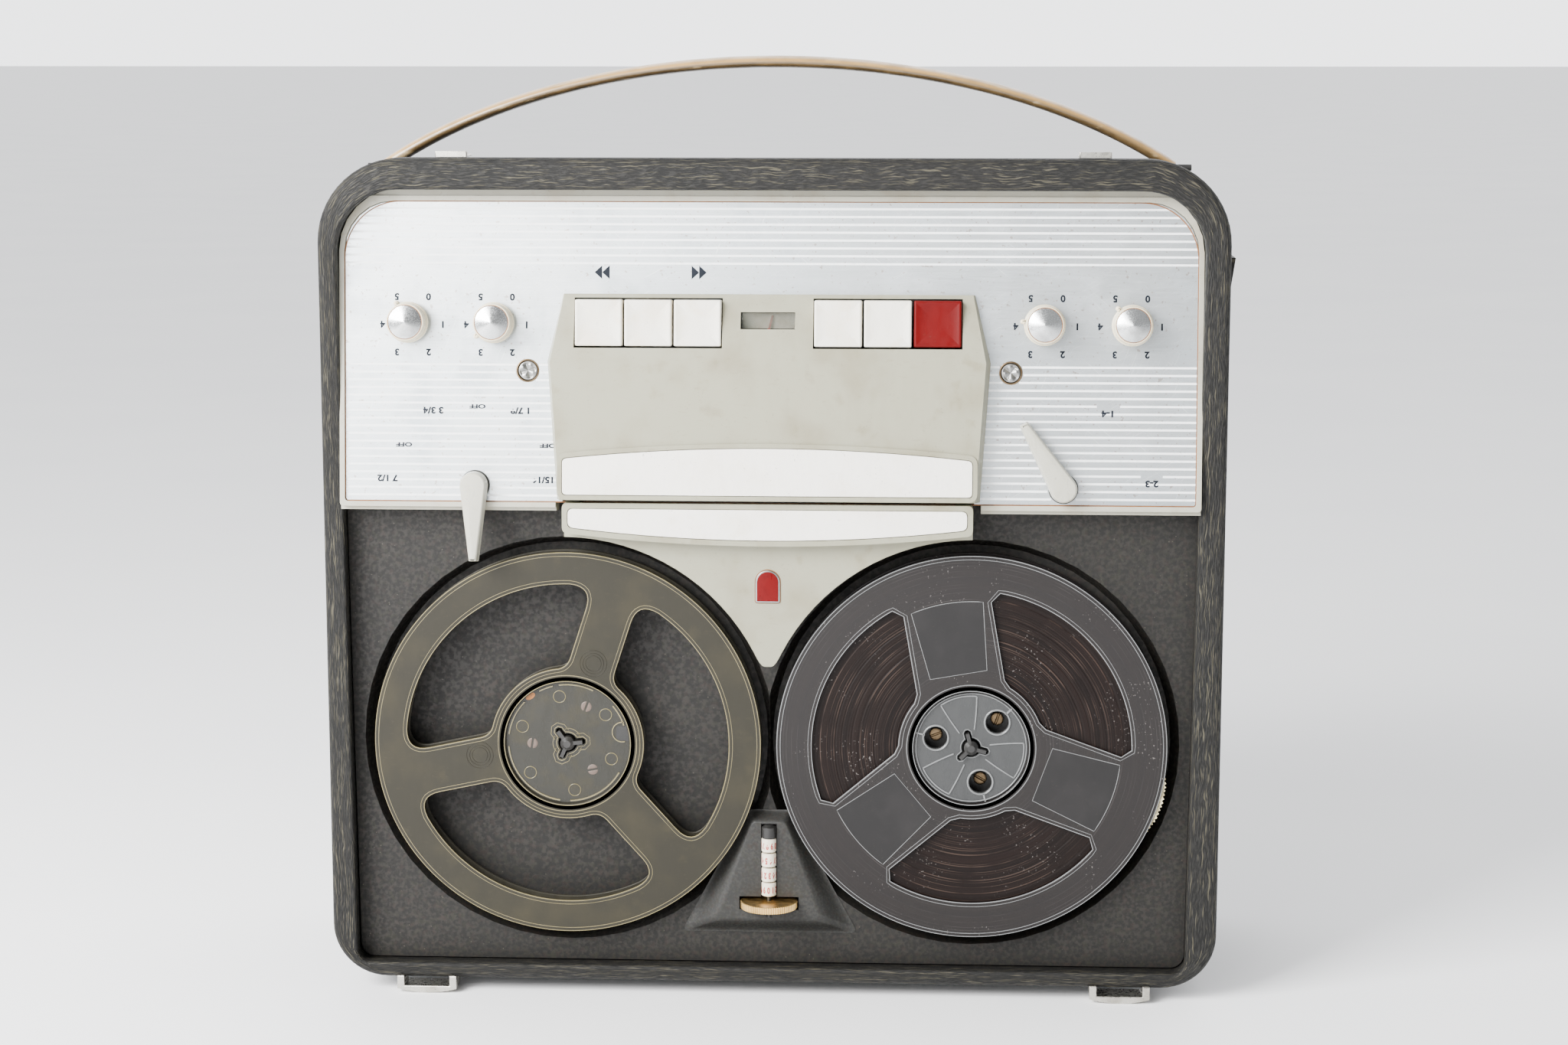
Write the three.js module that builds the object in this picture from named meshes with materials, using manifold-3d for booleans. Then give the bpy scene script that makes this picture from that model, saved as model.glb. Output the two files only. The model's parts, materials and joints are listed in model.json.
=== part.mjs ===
// Reel-to-reel tape recorder of the 1960s, standing upright with its deck facing forward.
// Millimetres, +Z up. The deck faces -Y, and depth into the case is +Y. While it is built, the
// front of the case rim is at y = 0 and the surface it stands on is at z = 0.
import * as THREE from 'three';
import { mergeVertices } from 'three/addons/utils/BufferGeometryUtils.js';
import Module from 'manifold-3d';

const wasm = await Module();
wasm.setup();

// Shared clearances
const fit = 0.3; // gap between pieces that rest on or in one another
const overrun = 4; // how far a cutter runs past the face it cuts

// Case shell
const case_width = 408;
const case_height = 378.5;
const case_depth = 150;
const standing_gap = 6.5; // case bottom above the surface it stands on
const corner_top = 38;
const corner_bottom = 25;
const rim_round = 3; // rolled front edge of the rim
const rim_depth = 12; // the rim stands proud of the body this far back
const rim_step = 3;
const case_draft = 4.5; // how far the body draws in from the rim to the back
const wall_side_top = 8.5;
const wall_side_bottom = 11.8;
const wall_top = 13;
const wall_bottom = 6;
const wall_body = 5.5;
const pocket_depth = 36; // depth of the thick front walls that hold the deck and panel
const inner_corner_top = 29;
const inner_corner_bottom = 7;

// Back panel and what the case stands on
const back_panel_thickness = 3;
const back_panel_set = 1; // how far the panel is let in
const vent_width = 3.5;
const vent_length = 70;
const vent_pitch = 9;
const vent_count = 9;
const back_foot_inset = 54; // centre of a foot in from the case's side
const back_foot_spread = case_width / 2 - back_foot_inset;
const back_foot_width = 14;
const back_foot_length = 150;
const back_foot_height = 8;
const stud_side_inset = 54;
const stud_spread = case_width / 2 - stud_side_inset;
const stud_radius = 10;
const stud_taper = 2;
const stud_inset = 22; // stud centre in front of the back edge

// Lid fittings on the rim
const loop_inset = 44; // centre of a loop in from the case's side
const loop_spread = case_width / 2 - loop_inset;
const loop_width = 27.5;
const loop_bar = 3.4;
const loop_crescent = 1.9; // how much the bar thins towards its ends
const loop_ear = 3.2;
const loop_ear_height = 8.2;
const loop_front = 2.5; // how far the loop stands in front of the rim
const loop_back = 10;
const catch_inset = 60.5;
const catch_spread = case_width / 2 - catch_inset;
const catch_width = 14.4;
const catch_length = 15;
const catch_plate = 1;
const catch_lip = 2.6;
const catch_set = 5;

// Carrying handle, a bowed strap on a pivot in a cup at each shoulder
const case_top = standing_gap + case_height;
const handle_rise = 45; // top of the bow above the case
const handle_apex = case_top + handle_rise;
const handle_inset = 22;
const handle_reach = case_width / 2 - handle_inset; // half the strap's span
const handle_ellipse_spare = 58;
const handle_ellipse_x = handle_reach + handle_ellipse_spare; // the ellipse runs on past the strap
const handle_ellipse_z = 137;
const handle_thickness = 5.7;
const handle_width = 25;
const handle_end_width = 14;
const handle_depth = 50; // strap centre behind the rim
const handle_eye = 3.3;
const handle_eye_length = 6;
const handle_pin = 1.5;
const running_fit = 0.3;
const handle_axis_drop = 5.5;
const handle_axis_z = case_top - handle_axis_drop;
const cup_inner_inset = 37.5;
const cup_inner_end = case_width / 2 - cup_inner_inset;
const cup_outer_inset = 14;
const cup_outer_end = case_width / 2 - cup_outer_inset;
const cup_width = 30;
const cup_wall = 1.6;
const cup_depth = 14;
const cup_floor = case_top - cup_depth;

// Side flap over the sockets
const flap_drop = 87.5;
const flap_low = case_top - flap_drop;
const flap_height = 42.5;
const flap_front = 34;
const flap_back = 116;
const flap_thickness = 2;
const flap_knuckle = 1.6;
const flap_ajar_deg = 8.5;
const socket_margin = 6; // socket opening inside the flap's edges
const socket_recess = 3;
const socket_thickness = 2;

// Where the tilted panel stands
const panel_foot_y = -2; // panel plane at its lower edge
const panel_drop = 155.5; // the panel's lower edge below the case top
const panel_foot_z = case_top - panel_drop;

// Deck
const mechanism_shift = -1.4; // the mechanism sits a little left of the case centre
const deck_front = 12;
const deck_thickness = 11;
const deck_gap = 0.6;
const deck_panel_gap = 0.5;
const deck_top = panel_foot_z - deck_panel_gap;
const dish_depth = 8.5;
const dish_radius = 95;
const dish_slope = 3.5;

// Reels, seven-inch
const spindle_half = 92.5;
const spindle_rise = 111.5;
const spindle_z = standing_gap + spindle_rise;
const reel_radius = 89;
const reel_front = 3;
const flange_thickness = 1.5;
const winding_gap = 7.7;
const left_hub_radius = 31.5;
const right_hub_radius = 29;
const hub_wall = 3;
const hub_web = 2.4;
const hub_web_set = 2; // web behind the front flange's face
const spindle_hole = 4.2;
const spindle_slot_width = 2.6;
const spindle_slot_reach = 8;
const left_window_outer = 74.5;
const left_window_inner = 35;
const left_spoke_half = 10.5;
const left_window_corner = 11;
const left_spoke_deg = 72;
const right_window_outer = 73;
const right_window_inner = 33;
const right_spoke_half = 20;
const right_window_corner = 5;
const right_spoke_deg = 100;
const hub_hole_radius = 5.1;
const hub_hole_ring = 16.7;
const hub_hole_deg = 45;
const left_slot_deg = 6;
const right_slot_deg = 105;

// Tape on the right reel
const tape_width = 6.25;
const pack_radius = 77.2;
const turn_thickness = 0.6;
const turn_gap = 0.5;
const turn_count = 1.2;
const turn_start_deg = -75;
const tape_flange_gap = 0.7;

// Turntables
const table_radius = 30;
const table_thickness = 4;
const table_boss = 7;
const table_shaft = 4;
const table_shaft_end = 40;
const spindle_radius = 3.3;
const spindle_tip = 1.5;
const spindle_wing = 1.7;
const spindle_wing_reach = 7;

// Tape counter
const counter_rise = 21;
const counter_base_low = standing_gap + counter_rise;
const counter_base_height = 58.5;
const counter_base_high = counter_base_low + counter_base_height;
const counter_foot = 8.5; // slope below the face
const counter_face_low = counter_base_low + counter_foot;
const counter_brow = 5;
const counter_face_high = counter_base_high - counter_brow;
const counter_base_half_low = 42;
const counter_base_half_high = 9;
const counter_face_half_low = 23;
const counter_face_half_high = 7.5;
const counter_axis_y = 5.5;
const wheel_slot_half = 13.7;
const wheel_slot_rise = 4;
const wheel_slot_low = counter_face_low + wheel_slot_rise;
const wheel_slot_height = 6.2;
const wheel_slot_high = wheel_slot_low + wheel_slot_height;
const drum_radius = 3.35;
const drum_height = 6.2;
const drum_pitch = 6.95;
const drum_bore = 1.3;
const drum_float = 0.8;
const drum_low = wheel_slot_high + drum_float;
const drum_count = 4;
const axle_radius = 1;
const wheel_radius = 13.2;
const wheel_thickness = 3.4;
const wheel_float = 1.2;
const wheel_low = wheel_slot_low + wheel_float;

// Control panel, tilted back at its top
const panel_tilt_deg = 5.7;
const bezel_gap = 1.6; // bezel to the case wall at the top
const bezel_half = case_width / 2 - wall_side_top - bezel_gap;
const bezel_low = -1;
const bezel_high = 142.3;
const bezel_corner = 28;
const bezel_foot_corner = 1.5;
const bead_width = 2.2;
const bead_height = 1.6;
const bezel_brow = 3.4; // plain strip above the top bead
const bezel_depth = 13.7;
const bezel_floor = 2;
const skirt_height = 1.6;
const skirt_set = 1.5;
const plate_thickness = 1.2;

// Knobs
const knob_z = 82;
const knob_inner_inset = 70.6;
const knob_inner = bezel_half - knob_inner_inset;
const knob_outer_inset = 31.7;
const knob_outer = bezel_half - knob_outer_inset;
const knob_base = 9.2;
const knob_standoff = 4; // knob's underside to the plate
const knob_flange_depth = 3;
const knob_flange = knob_standoff + knob_flange_depth;
const knob_ring = 8.4;
const knob_ring_depth = 9;
const knob_ring_height = knob_standoff + knob_ring_depth;
const knob_cap = 7.6;
const knob_depth = 11.5;
const knob_height = knob_standoff + knob_depth;
const knob_shaft = 3;
const knob_shaft_hole = 4.2;
const shaft_depth = 12;
const nub_radius = 1.1;
const nub_reach = 11;
const nub_depth = 4;
const nub_height = knob_standoff + nub_depth;
const left_outer_nub_deg = 120;
const left_inner_nub_deg = 218;
const right_inner_nub_deg = 171;
const right_outer_nub_deg = 131;

// Levers
const lever_inset = 61.4;
const lever_x = bezel_half - lever_inset;
const lever_z = 8.9;
const lever_head = 6.2;
const lever_tip_half = 2.1;
const lever_length = 34.5;
const lever_low = 2.4;
const lever_high = 9;
const lever_draft = 0.8;
const lever_hub = 5.2;
const track_lever_lean_deg = 31.9;

// Panel screws
const screw_inset = 85.3;
const screw_x = bezel_half - screw_inset;
const screw_z = 60.6;
const screw_recess = 5.1;
const screw_head = 4.5;
const screw_head_thickness = 1.5;
const screw_shank = 2;
const screw_length = 9;

// Head cover, whose width follows its two bays of keys
const bay_inner = 20.3;
const bay_outer = 86.9;
const cover_rail = 5.5; // cover outside a bay at its top edge
const cover_top_z = 95.2;
const cover_ridge_z = 64.8;
const cover_low_z = 2.7;
const cover_top_half = bay_outer + cover_rail;
const cover_flare = 7.2;
const cover_ridge_half = cover_top_half + cover_flare;
const cover_waist = 4.4;
const cover_low_half = cover_ridge_half - cover_waist;
const cover_draft = 2.2;
const cover_top_height = 3.5;
const cover_height = 10;
const cover_wall = 2.2;
const slot_wall_drop = 2.8; // the walls beside the tape slot reach this far down
const insert_margin = 3.2;
const insert_half = cover_low_half - insert_margin;
const insert_low = 4.9;
const insert_side = 21.6;
const insert_sagitta = 5;
const insert_corner = 2;
const insert_bead = 2;
const insert_bead_height = 0.8;
const insert_thickness = 1;

// Keys
const bay_low = 71;
const bay_high = 93.4;
const key_gap = 0.6;
const key_draft = 0.6;
const key_top_height = 8;
const key_base_height = 1.5;
const key_edge = 1.4;
const key_dish = 0.7;
const stem_half = 3;
const stem_depth = 14;
const cutout_margin = 2.6;
const cutout_half = bay_outer + cutout_margin;
const cutout_low = 3;
const cutout_high = 93.8;

// Level meter
const meter_half = 12.2;
const meter_low = 79.6;
const meter_high = 87.2;
const meter_glass = 1;
const meter_glass_set = 2.2;
const meter_body_half = 15;
const meter_body_low = 76;
const meter_body_high = 88;
const meter_body_height = 2.2;
const meter_body_depth = 9;
const meter_cavity = 3.4;
const pointer_axis_z = 78.7;
const pointer_length = 7.4;
const pointer_width = 0.9;
const pointer_thickness = 0.6;
const pointer_lift = 1;
const pointer_hub = 1.2;
const pointer_rest_deg = -14;

// Tongue cover between the reels
const tongue_overlap = 2.1; // the tongue runs up past the panel's lower edge
const tongue_top = panel_foot_z + tongue_overlap;
const band_margin = 3;
const band_half = cover_low_half - band_margin;
const band_height = 13.6; // band at its ends
const band_side = tongue_top - band_height;
const band_sagitta = 5.4;
const band_front = -10;
const band_corner = 2.5;
const tongue_front = -2;
const tongue_arc = 97;
const tongue_tip_rise = 38;
const tongue_tip_z = spindle_z + tongue_tip_rise;
const tongue_tip_round = 6;
const tongue_wall = 2.2;

// Head assembly behind the slot
const head_plate_margin = 5.5;
const head_plate_half = cutout_half - head_plate_margin;
const head_plate_drop = 8.5;
const head_plate_low = panel_foot_z - head_plate_drop;
const deck_notch_margin = 3.5; // the deck is cut away this far below the head plate
const deck_notch_low = head_plate_low - deck_notch_margin;
const head_plate_height = 41;
const head_plate_high = head_plate_low + head_plate_height;
const head_plate_front = 16.2;
const head_plate_thickness = 2.2;
const head_size = 13;
const head_rise = 4.5;
const head_face_z = panel_foot_z + head_rise;
const head_spread = 34;
const head_front = -2;
const head_post_radius = 4;
const head_post_inset = 6;
const head_post_x = head_plate_half - head_post_inset;
const head_post_drop = 17;
const head_post_z = head_plate_high - head_post_drop;
const guide_radius = 2.5;
const guide_inset = 18;
const guide_x = head_plate_half - guide_inset;
const tape_rise = 2.5;
const tape_line_z = panel_foot_z + tape_rise;

// Capstan drive
const capstan_x = 30;
const capstan_radius = 2;
const capstan_front = -5;
const flywheel_radius = 40;
const flywheel_front = 31;
const flywheel_thickness = 8;
const pinch_radius = 6.5;
const pinch_front = 2;
const pinch_length = 13;
const pinch_axle = 1.5;
const pinch_bore = 1.8;
const motor_x = -60;
const motor_rise = 42.5;
const motor_z = panel_foot_z + motor_rise;
const motor_radius = 34;
const motor_length = 52;
const motor_shaft = 2.5;
const pulley_radius = 8;
const pulley_thickness = 7;
const pulley_flange = 1.5;
const belt_thickness = 1;
const belt_width = 4;
const belt_facets = 16; // straight steps in half a turn of the belt's outline

// Chassis frame
const chassis_front = 44;
const chassis_thickness = 2;
const chassis_inset = 28;
const chassis_half = case_width / 2 - chassis_inset;
const chassis_rise = 27.5;
const chassis_low = standing_gap + chassis_rise;
const chassis_top_inset = 37;
const chassis_high = case_top - chassis_top_inset;
const chassis_corner = 10;
const chassis_post = 4.5;
const chassis_post_inset = 8;
const chassis_post_x = chassis_half - chassis_post_inset;
const chassis_post_margin = 12;
const chassis_post_low = chassis_low + chassis_post_margin;
const chassis_post_drop = 14;
const chassis_post_high = deck_top - chassis_post_drop;
const chassis_window_half = 60;
const chassis_window_low = 60;
const chassis_window_high = 170;

// Loudspeaker
const speaker_x = 70;
const speaker_rise = 2;
const speaker_z = spindle_z + speaker_rise;
const speaker_radius = 58;
const speaker_rim = 3;
const speaker_cone_depth = 30;
const speaker_cone_radius = 26;
const magnet_radius = 24;
const magnet_depth = 20;

const degree = Math.PI / 180;

function finish(colour, roughness, metalness, opacity = 1) {
  return new THREE.MeshStandardMaterial({
    color: colour, roughness, metalness, opacity, transparent: opacity < 1,
  });
}

const leathercloth = finish('#3b3a37', 0.85, 0);
const speckled_paint = finish('#45413b', 0.75, 0);
const housing_paint = finish('#6a6b69', 0.7, 0);
const cream = finish('#dcd6c8', 0.5, 0);
const stone_plastic = finish('#c3bfb0', 0.55, 0);
const white_enamel = finish('#ece9e0', 0.35, 0);
const ivory = finish('#efe9d8', 0.3, 0);
const record_red = finish('#9c2320', 0.35, 0);
const brushed = finish('#c9ced2', 0.35, 0.9);
const nickel = finish('#a9a294', 0.4, 0.9);
const frosted = finish('#a79f8b', 0.4, 0, 0.75);
const crystal = finish('#c9cdd0', 0.1, 0, 0.35);
const tape_brown = finish('#2b1d17', 0.35, 0);
const strap_tan = finish('#b89b6a', 0.45, 0);
const rubber = finish('#1c1b1a', 0.9, 0);
const steel = finish('#8b8d8f', 0.45, 0.9);
const brass = finish('#c2a25a', 0.3, 0.95);
const drum_white = finish('#e8e4d8', 0.5, 0);
const dark_plastic = finish('#26241f', 0.6, 0);
const needle_red = finish('#b4262a', 0.4, 0);
const magnet_grey = finish('#55585a', 0.6, 0.4);

// A welded copy of a geometry: shared vertices merged, no empty triangles, faces outward
function weld(geometry) {
  const bare = geometry.clone();
  for (const name of Object.keys(bare.attributes)) {
    if (name !== 'position') bare.deleteAttribute(name);
  }
  const merged = mergeVertices(bare, 1e-4);
  const p = merged.attributes.position;
  const old = merged.index.array;
  const kept = [];
  let volume = 0;
  const a = new THREE.Vector3();
  const b = new THREE.Vector3();
  const c = new THREE.Vector3();
  for (let i = 0; i < old.length; i += 3) {
    const [i0, i1, i2] = [old[i], old[i + 1], old[i + 2]];
    if (i0 === i1 || i1 === i2 || i2 === i0) continue;
    kept.push(i0, i1, i2);
    a.fromBufferAttribute(p, i0);
    b.fromBufferAttribute(p, i1);
    c.fromBufferAttribute(p, i2);
    volume += a.dot(b.cross(c));
  }
  if (volume < 0) {
    for (let i = 0; i < kept.length; i += 3) {
      [kept[i], kept[i + 1]] = [kept[i + 1], kept[i]];
    }
  }
  merged.setIndex(kept);
  return merged;
}

function solid(geometry) {
  const welded = weld(geometry);
  return new wasm.Manifold(new wasm.Mesh({
    numProp: 3,
    vertProperties: new Float32Array(welded.attributes.position.array),
    triVerts: new Uint32Array(welded.index.array),
  }));
}

function surface(manifold) {
  const mesh = manifold.getMesh();
  const geometry = new THREE.BufferGeometry();
  geometry.setAttribute('position', new THREE.BufferAttribute(new Float32Array(mesh.vertProperties), 3));
  geometry.setIndex([...mesh.triVerts]);
  return geometry;
}

function join(...parts) {
  return surface(parts.map(solid).reduce((sum, part) => sum.add(part)));
}

function cut(body, ...cutters) {
  return surface(cutters.map(solid).reduce((rest, cutter) => rest.subtract(cutter), solid(body)));
}

function common(first, second) {
  return surface(solid(first).intersect(solid(second)));
}

function add(parent, name, geometry, material) {
  const shown = weld(geometry);
  shown.computeVertexNormals();
  const mesh = new THREE.Mesh(shown, material);
  mesh.name = name;
  parent.add(mesh);
  return mesh;
}

function block(x0, x1, y0, y1, z0, z1) {
  const box = new THREE.BoxGeometry(x1 - x0, y1 - y0, z1 - z0);
  return box.translate((x0 + x1) / 2, (y0 + y1) / 2, (z0 + z1) / 2);
}

// A shape drawn in x and z, made solid from y0 back to y1
function plate(shape, y0, y1, curveSegments = 4) {
  const slab = new THREE.ExtrudeGeometry(shape, { depth: y1 - y0, bevelEnabled: false, curveSegments });
  return slab.rotateX(Math.PI / 2).translate(0, y1, 0);
}

// A profile of [radius, y] pairs turned about an axis along Y at x, z
function turned(profile, x, z, segments) {
  const points = profile.map(([r, y]) => new THREE.Vector2(r, y));
  return new THREE.LatheGeometry(points, segments).translate(x, 0, z);
}

function disc(radius, y0, y1, x, z, segments = 16) {
  return turned([[0, y0], [radius, y0], [radius, y1], [0, y1]], x, z, segments);
}

function ring(inner, outer, y0, y1, x, z, segments = 48) {
  return turned([[inner, y0], [outer, y0], [outer, y1], [inner, y1], [inner, y0]], x, z, segments);
}

// A profile of [radius, z] pairs turned about an axis along Z at x, y
function standing(profile, x, y, segments) {
  const points = profile.map(([r, z]) => new THREE.Vector2(r, z));
  return new THREE.LatheGeometry(points, segments).rotateX(Math.PI / 2).translate(x, y, 0);
}

// Points of an upright outline with rounded corners, anticlockwise seen from the front
function outline({ half_low, half_high, low, high, round_low, round_high, steps = 8 }) {
  const corners = [
    [half_low - round_low, low + round_low, round_low, -90],
    [half_high - round_high, high - round_high, round_high, 0],
    [-half_high + round_high, high - round_high, round_high, 90],
    [-half_low + round_low, low + round_low, round_low, 180],
  ];
  const points = [];
  for (const [x, z, r, start] of corners) {
    for (let i = 0; i <= steps; i += 1) {
      const angle = (start + (90 * i) / steps) * degree;
      points.push(new THREE.Vector2(x + r * Math.cos(angle), z + r * Math.sin(angle)));
    }
  }
  return points;
}

function even(half, low, high, round_low, round_high, steps = 6) {
  return outline({ half_low: half, half_high: half, low, high, round_low, round_high, steps });
}

// A skin through rings of points with equal counts, closed end to end or capped
function skin(rings, capped) {
  const count = rings[0].length;
  const positions = rings.flat().flatMap((p) => [p.x, p.y, p.z]);
  const index = [];
  const spans = capped ? rings.length - 1 : rings.length;
  for (let i = 0; i < spans; i += 1) {
    const here = i * count;
    const next = ((i + 1) % rings.length) * count;
    for (let j = 0; j < count; j += 1) {
      const k = (j + 1) % count;
      index.push(here + j, here + k, next + k, here + j, next + k, next + j);
    }
  }
  if (capped) {
    for (let j = 1; j < count - 1; j += 1) {
      const last = (rings.length - 1) * count;
      index.push(0, j + 1, j, last, last + j, last + j + 1);
    }
  }
  const geometry = new THREE.BufferGeometry();
  geometry.setAttribute('position', new THREE.Float32BufferAttribute(positions, 3));
  geometry.setIndex(index);
  return geometry;
}

function at(points, y) {
  return points.map((p) => new THREE.Vector3(p.x, y, p.y));
}

const case_half = case_width / 2;
const case_low = standing_gap;
const case_high = case_top;

function body_inset(y) {
  return y <= rim_depth ? 0 : rim_step + (case_draft * (y - rim_depth)) / (case_depth - rim_depth);
}

function case_ring(y, inset, steps = 8) {
  return at(even(case_half - inset, case_low + inset, case_high - inset,
    corner_bottom - inset, corner_top - inset, steps), y);
}

// Inner outline of the thick front walls, which the deck and bezel fit in
function pocket(gap, steps = 8) {
  const points = outline({
    half_low: case_half - wall_side_bottom - gap,
    half_high: case_half - wall_side_top - gap,
    low: case_low + wall_bottom + gap,
    high: case_high - wall_top - gap,
    round_low: inner_corner_bottom - gap,
    round_high: inner_corner_top - gap,
    steps,
  });
  return points.map((p) => p.setX(p.x + mechanism_shift));
}

const right_wall_x = case_half - body_inset(flap_front);
const flap_axis_x = right_wall_x + fit + flap_knuckle;
const body_step_y = rim_depth + rim_step;

function handle_drop(x) {
  return handle_ellipse_z * (1 - Math.sqrt(1 - (x / handle_ellipse_x) ** 2));
}

function handle_slope(x) {
  const rest = Math.sqrt(1 - (x / handle_ellipse_x) ** 2);
  return (-handle_ellipse_z * x) / (handle_ellipse_x ** 2 * rest);
}

function make_case(parent) {
  const roll_steps = 3;
  const outer = [case_ring(case_depth, body_inset(case_depth))];
  outer.push(case_ring(body_step_y, body_inset(body_step_y)));
  outer.push(case_ring(rim_depth, 0));
  for (let i = 0; i <= roll_steps; i += 1) {
    const angle = (i * Math.PI) / 2 / roll_steps;
    outer.push(case_ring(rim_round * (1 - Math.sin(angle)), rim_round * (1 - Math.cos(angle))));
  }
  const mouth = rim_round / 2;
  const inner = [
    at(pocket(-mouth), 0),
    at(pocket(0), mouth),
    at(pocket(0), pocket_depth),
    case_ring(pocket_depth + rim_round, body_inset(pocket_depth) + wall_body),
    case_ring(case_depth, body_inset(case_depth) + wall_body),
  ];
  const shell = skin([...outer, ...inner], false);
  const body = skin(outer, true);
  const cups = [-1, 1].map((side) => {
    const near = side * cup_inner_end;
    const far = side * cup_outer_end;
    const space = block(Math.min(near, far), Math.max(near, far), handle_depth - cup_width / 2,
      handle_depth + cup_width / 2, cup_floor, case_high + overrun);
    return { side, space };
  });
  const socket_hole = block(case_half - wall_side_bottom - wall_body - overrun, case_half + overrun,
    flap_front + socket_margin, flap_back - socket_margin,
    flap_low + socket_margin, flap_low + flap_height - socket_margin);
  add(parent, 'case_shell', cut(shell, cups[0].space, cups[1].space, socket_hole), leathercloth);

  for (const { side, space } of cups) {
    const bottom = new THREE.Box3().setFromBufferAttribute(space.attributes.position);
    const outside = block(bottom.min.x + fit, bottom.max.x - fit, bottom.min.y + fit,
      bottom.max.y - fit, cup_floor + fit, case_high);
    const well = block(bottom.min.x + cup_wall, bottom.max.x - cup_wall, bottom.min.y + cup_wall,
      bottom.max.y - cup_wall, cup_floor + cup_wall, case_high + overrun);
    const pin = new THREE.CylinderGeometry(handle_pin, handle_pin,
      cup_outer_end - cup_inner_end - cup_wall, 12);
    pin.rotateZ(Math.PI / 2);
    pin.translate((side * (cup_inner_end + cup_outer_end)) / 2, handle_depth, handle_axis_z);
    const cup = join(cut(common(outside, body), well), common(pin, outside));
    add(parent, side < 0 ? 'handle_cup_left' : 'handle_cup_right', cup, dark_plastic);
  }

  const socket = block(right_wall_x - socket_recess - socket_thickness, right_wall_x - socket_recess,
    flap_front + socket_margin + fit, flap_back - socket_margin - fit,
    flap_low + socket_margin + fit, flap_low + flap_height - socket_margin - fit);
  add(parent, 'socket_panel', socket, dark_plastic);
}

function make_back(parent) {
  const inset = body_inset(case_depth) + wall_body + deck_gap;
  const shape = new THREE.Shape(even(case_half - inset, case_low + inset, case_high - inset,
    corner_bottom - inset, corner_top - inset));
  const vent_half = vent_length / 2;
  for (let i = 0; i < vent_count; i += 1) {
    const z = speaker_z + (i - (vent_count - 1) / 2) * vent_pitch;
    const slot = even(vent_half, z - vent_width / 2, z + vent_width / 2, vent_width / 2, vent_width / 2, 3);
    shape.holes.push(new THREE.Path(slot.map((p) => p.add(new THREE.Vector2(speaker_x, 0)))));
  }
  const back_face = case_depth - back_panel_set;
  add(parent, 'back_panel', plate(shape, back_face - back_panel_thickness, back_face), dark_plastic);

  for (const side of [-1, 1]) {
    const foot_low = (case_low + case_high) / 2 - back_foot_length / 2;
    const foot = new THREE.Shape(even(back_foot_width / 2, foot_low, foot_low + back_foot_length,
      back_foot_width / 2, back_foot_width / 2, 4));
    const strip = plate(foot, back_face + fit, back_face + back_foot_height);
    strip.translate(side * back_foot_spread, 0, 0);
    add(parent, side < 0 ? 'back_foot_left' : 'back_foot_right', strip, rubber);
    const stud_y = case_depth - stud_inset;
    const stud_top = case_low + body_inset(stud_y - stud_radius) - fit;
    const stud = standing([[0, 0], [stud_radius - stud_taper, 0], [stud_radius, stud_top], [0, stud_top]],
      side * stud_spread, stud_y, 20);
    add(parent, side < 0 ? 'standing_stud_left' : 'standing_stud_right', stud, rubber);
  }

  const speaker_back = back_face - back_panel_thickness - fit;
  const speaker = turned([
    [0, speaker_back - speaker_cone_depth - magnet_depth],
    [magnet_radius, speaker_back - speaker_cone_depth - magnet_depth],
    [magnet_radius, speaker_back - speaker_cone_depth],
    [speaker_cone_radius, speaker_back - speaker_cone_depth],
    [speaker_radius, speaker_back - speaker_rim],
    [speaker_radius, speaker_back],
    [0, speaker_back],
  ], speaker_x, speaker_z, 24);
  add(parent, 'loudspeaker', speaker, magnet_grey);
}

function make_fittings(parent) {
  for (const side of [-1, 1]) {
    const half = loop_width / 2;
    const bar = new THREE.Shape();
    bar.moveTo(-half, case_low - fit);
    bar.lineTo(-half, loop_crescent);
    bar.quadraticCurveTo(-half / 2, 0, 0, 0);
    bar.quadraticCurveTo(half / 2, 0, half, loop_crescent);
    bar.lineTo(half, case_low - fit);
    bar.lineTo(half - loop_ear, case_low - fit);
    bar.lineTo(half - loop_ear, loop_bar);
    bar.lineTo(-half + loop_ear, loop_bar);
    bar.lineTo(-half + loop_ear, case_low - fit);
    const ears = [-half, half - loop_ear].map((x) => block(x, x + loop_ear, -loop_front, -fit / 2,
      loop_bar, loop_ear_height));
    const loop = join(plate(bar, -loop_front, loop_back, 6), ...ears);
    add(parent, side < 0 ? 'hinge_loop_left' : 'hinge_loop_right',
      loop.translate(side * loop_spread, 0, 0), nickel);

    const catch_low = case_high + fit;
    const catch_half = catch_width / 2;
    const base = block(-catch_half, catch_half, catch_set, catch_set + catch_length, catch_low,
      catch_low + catch_plate);
    const lip = block(-catch_half, catch_half, catch_set, catch_set + catch_lip,
      catch_low, catch_low + catch_lip);
    add(parent, side < 0 ? 'lid_catch_left' : 'lid_catch_right',
      join(base, lip).translate(side * catch_spread, 0, 0), nickel);
  }
}

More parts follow.
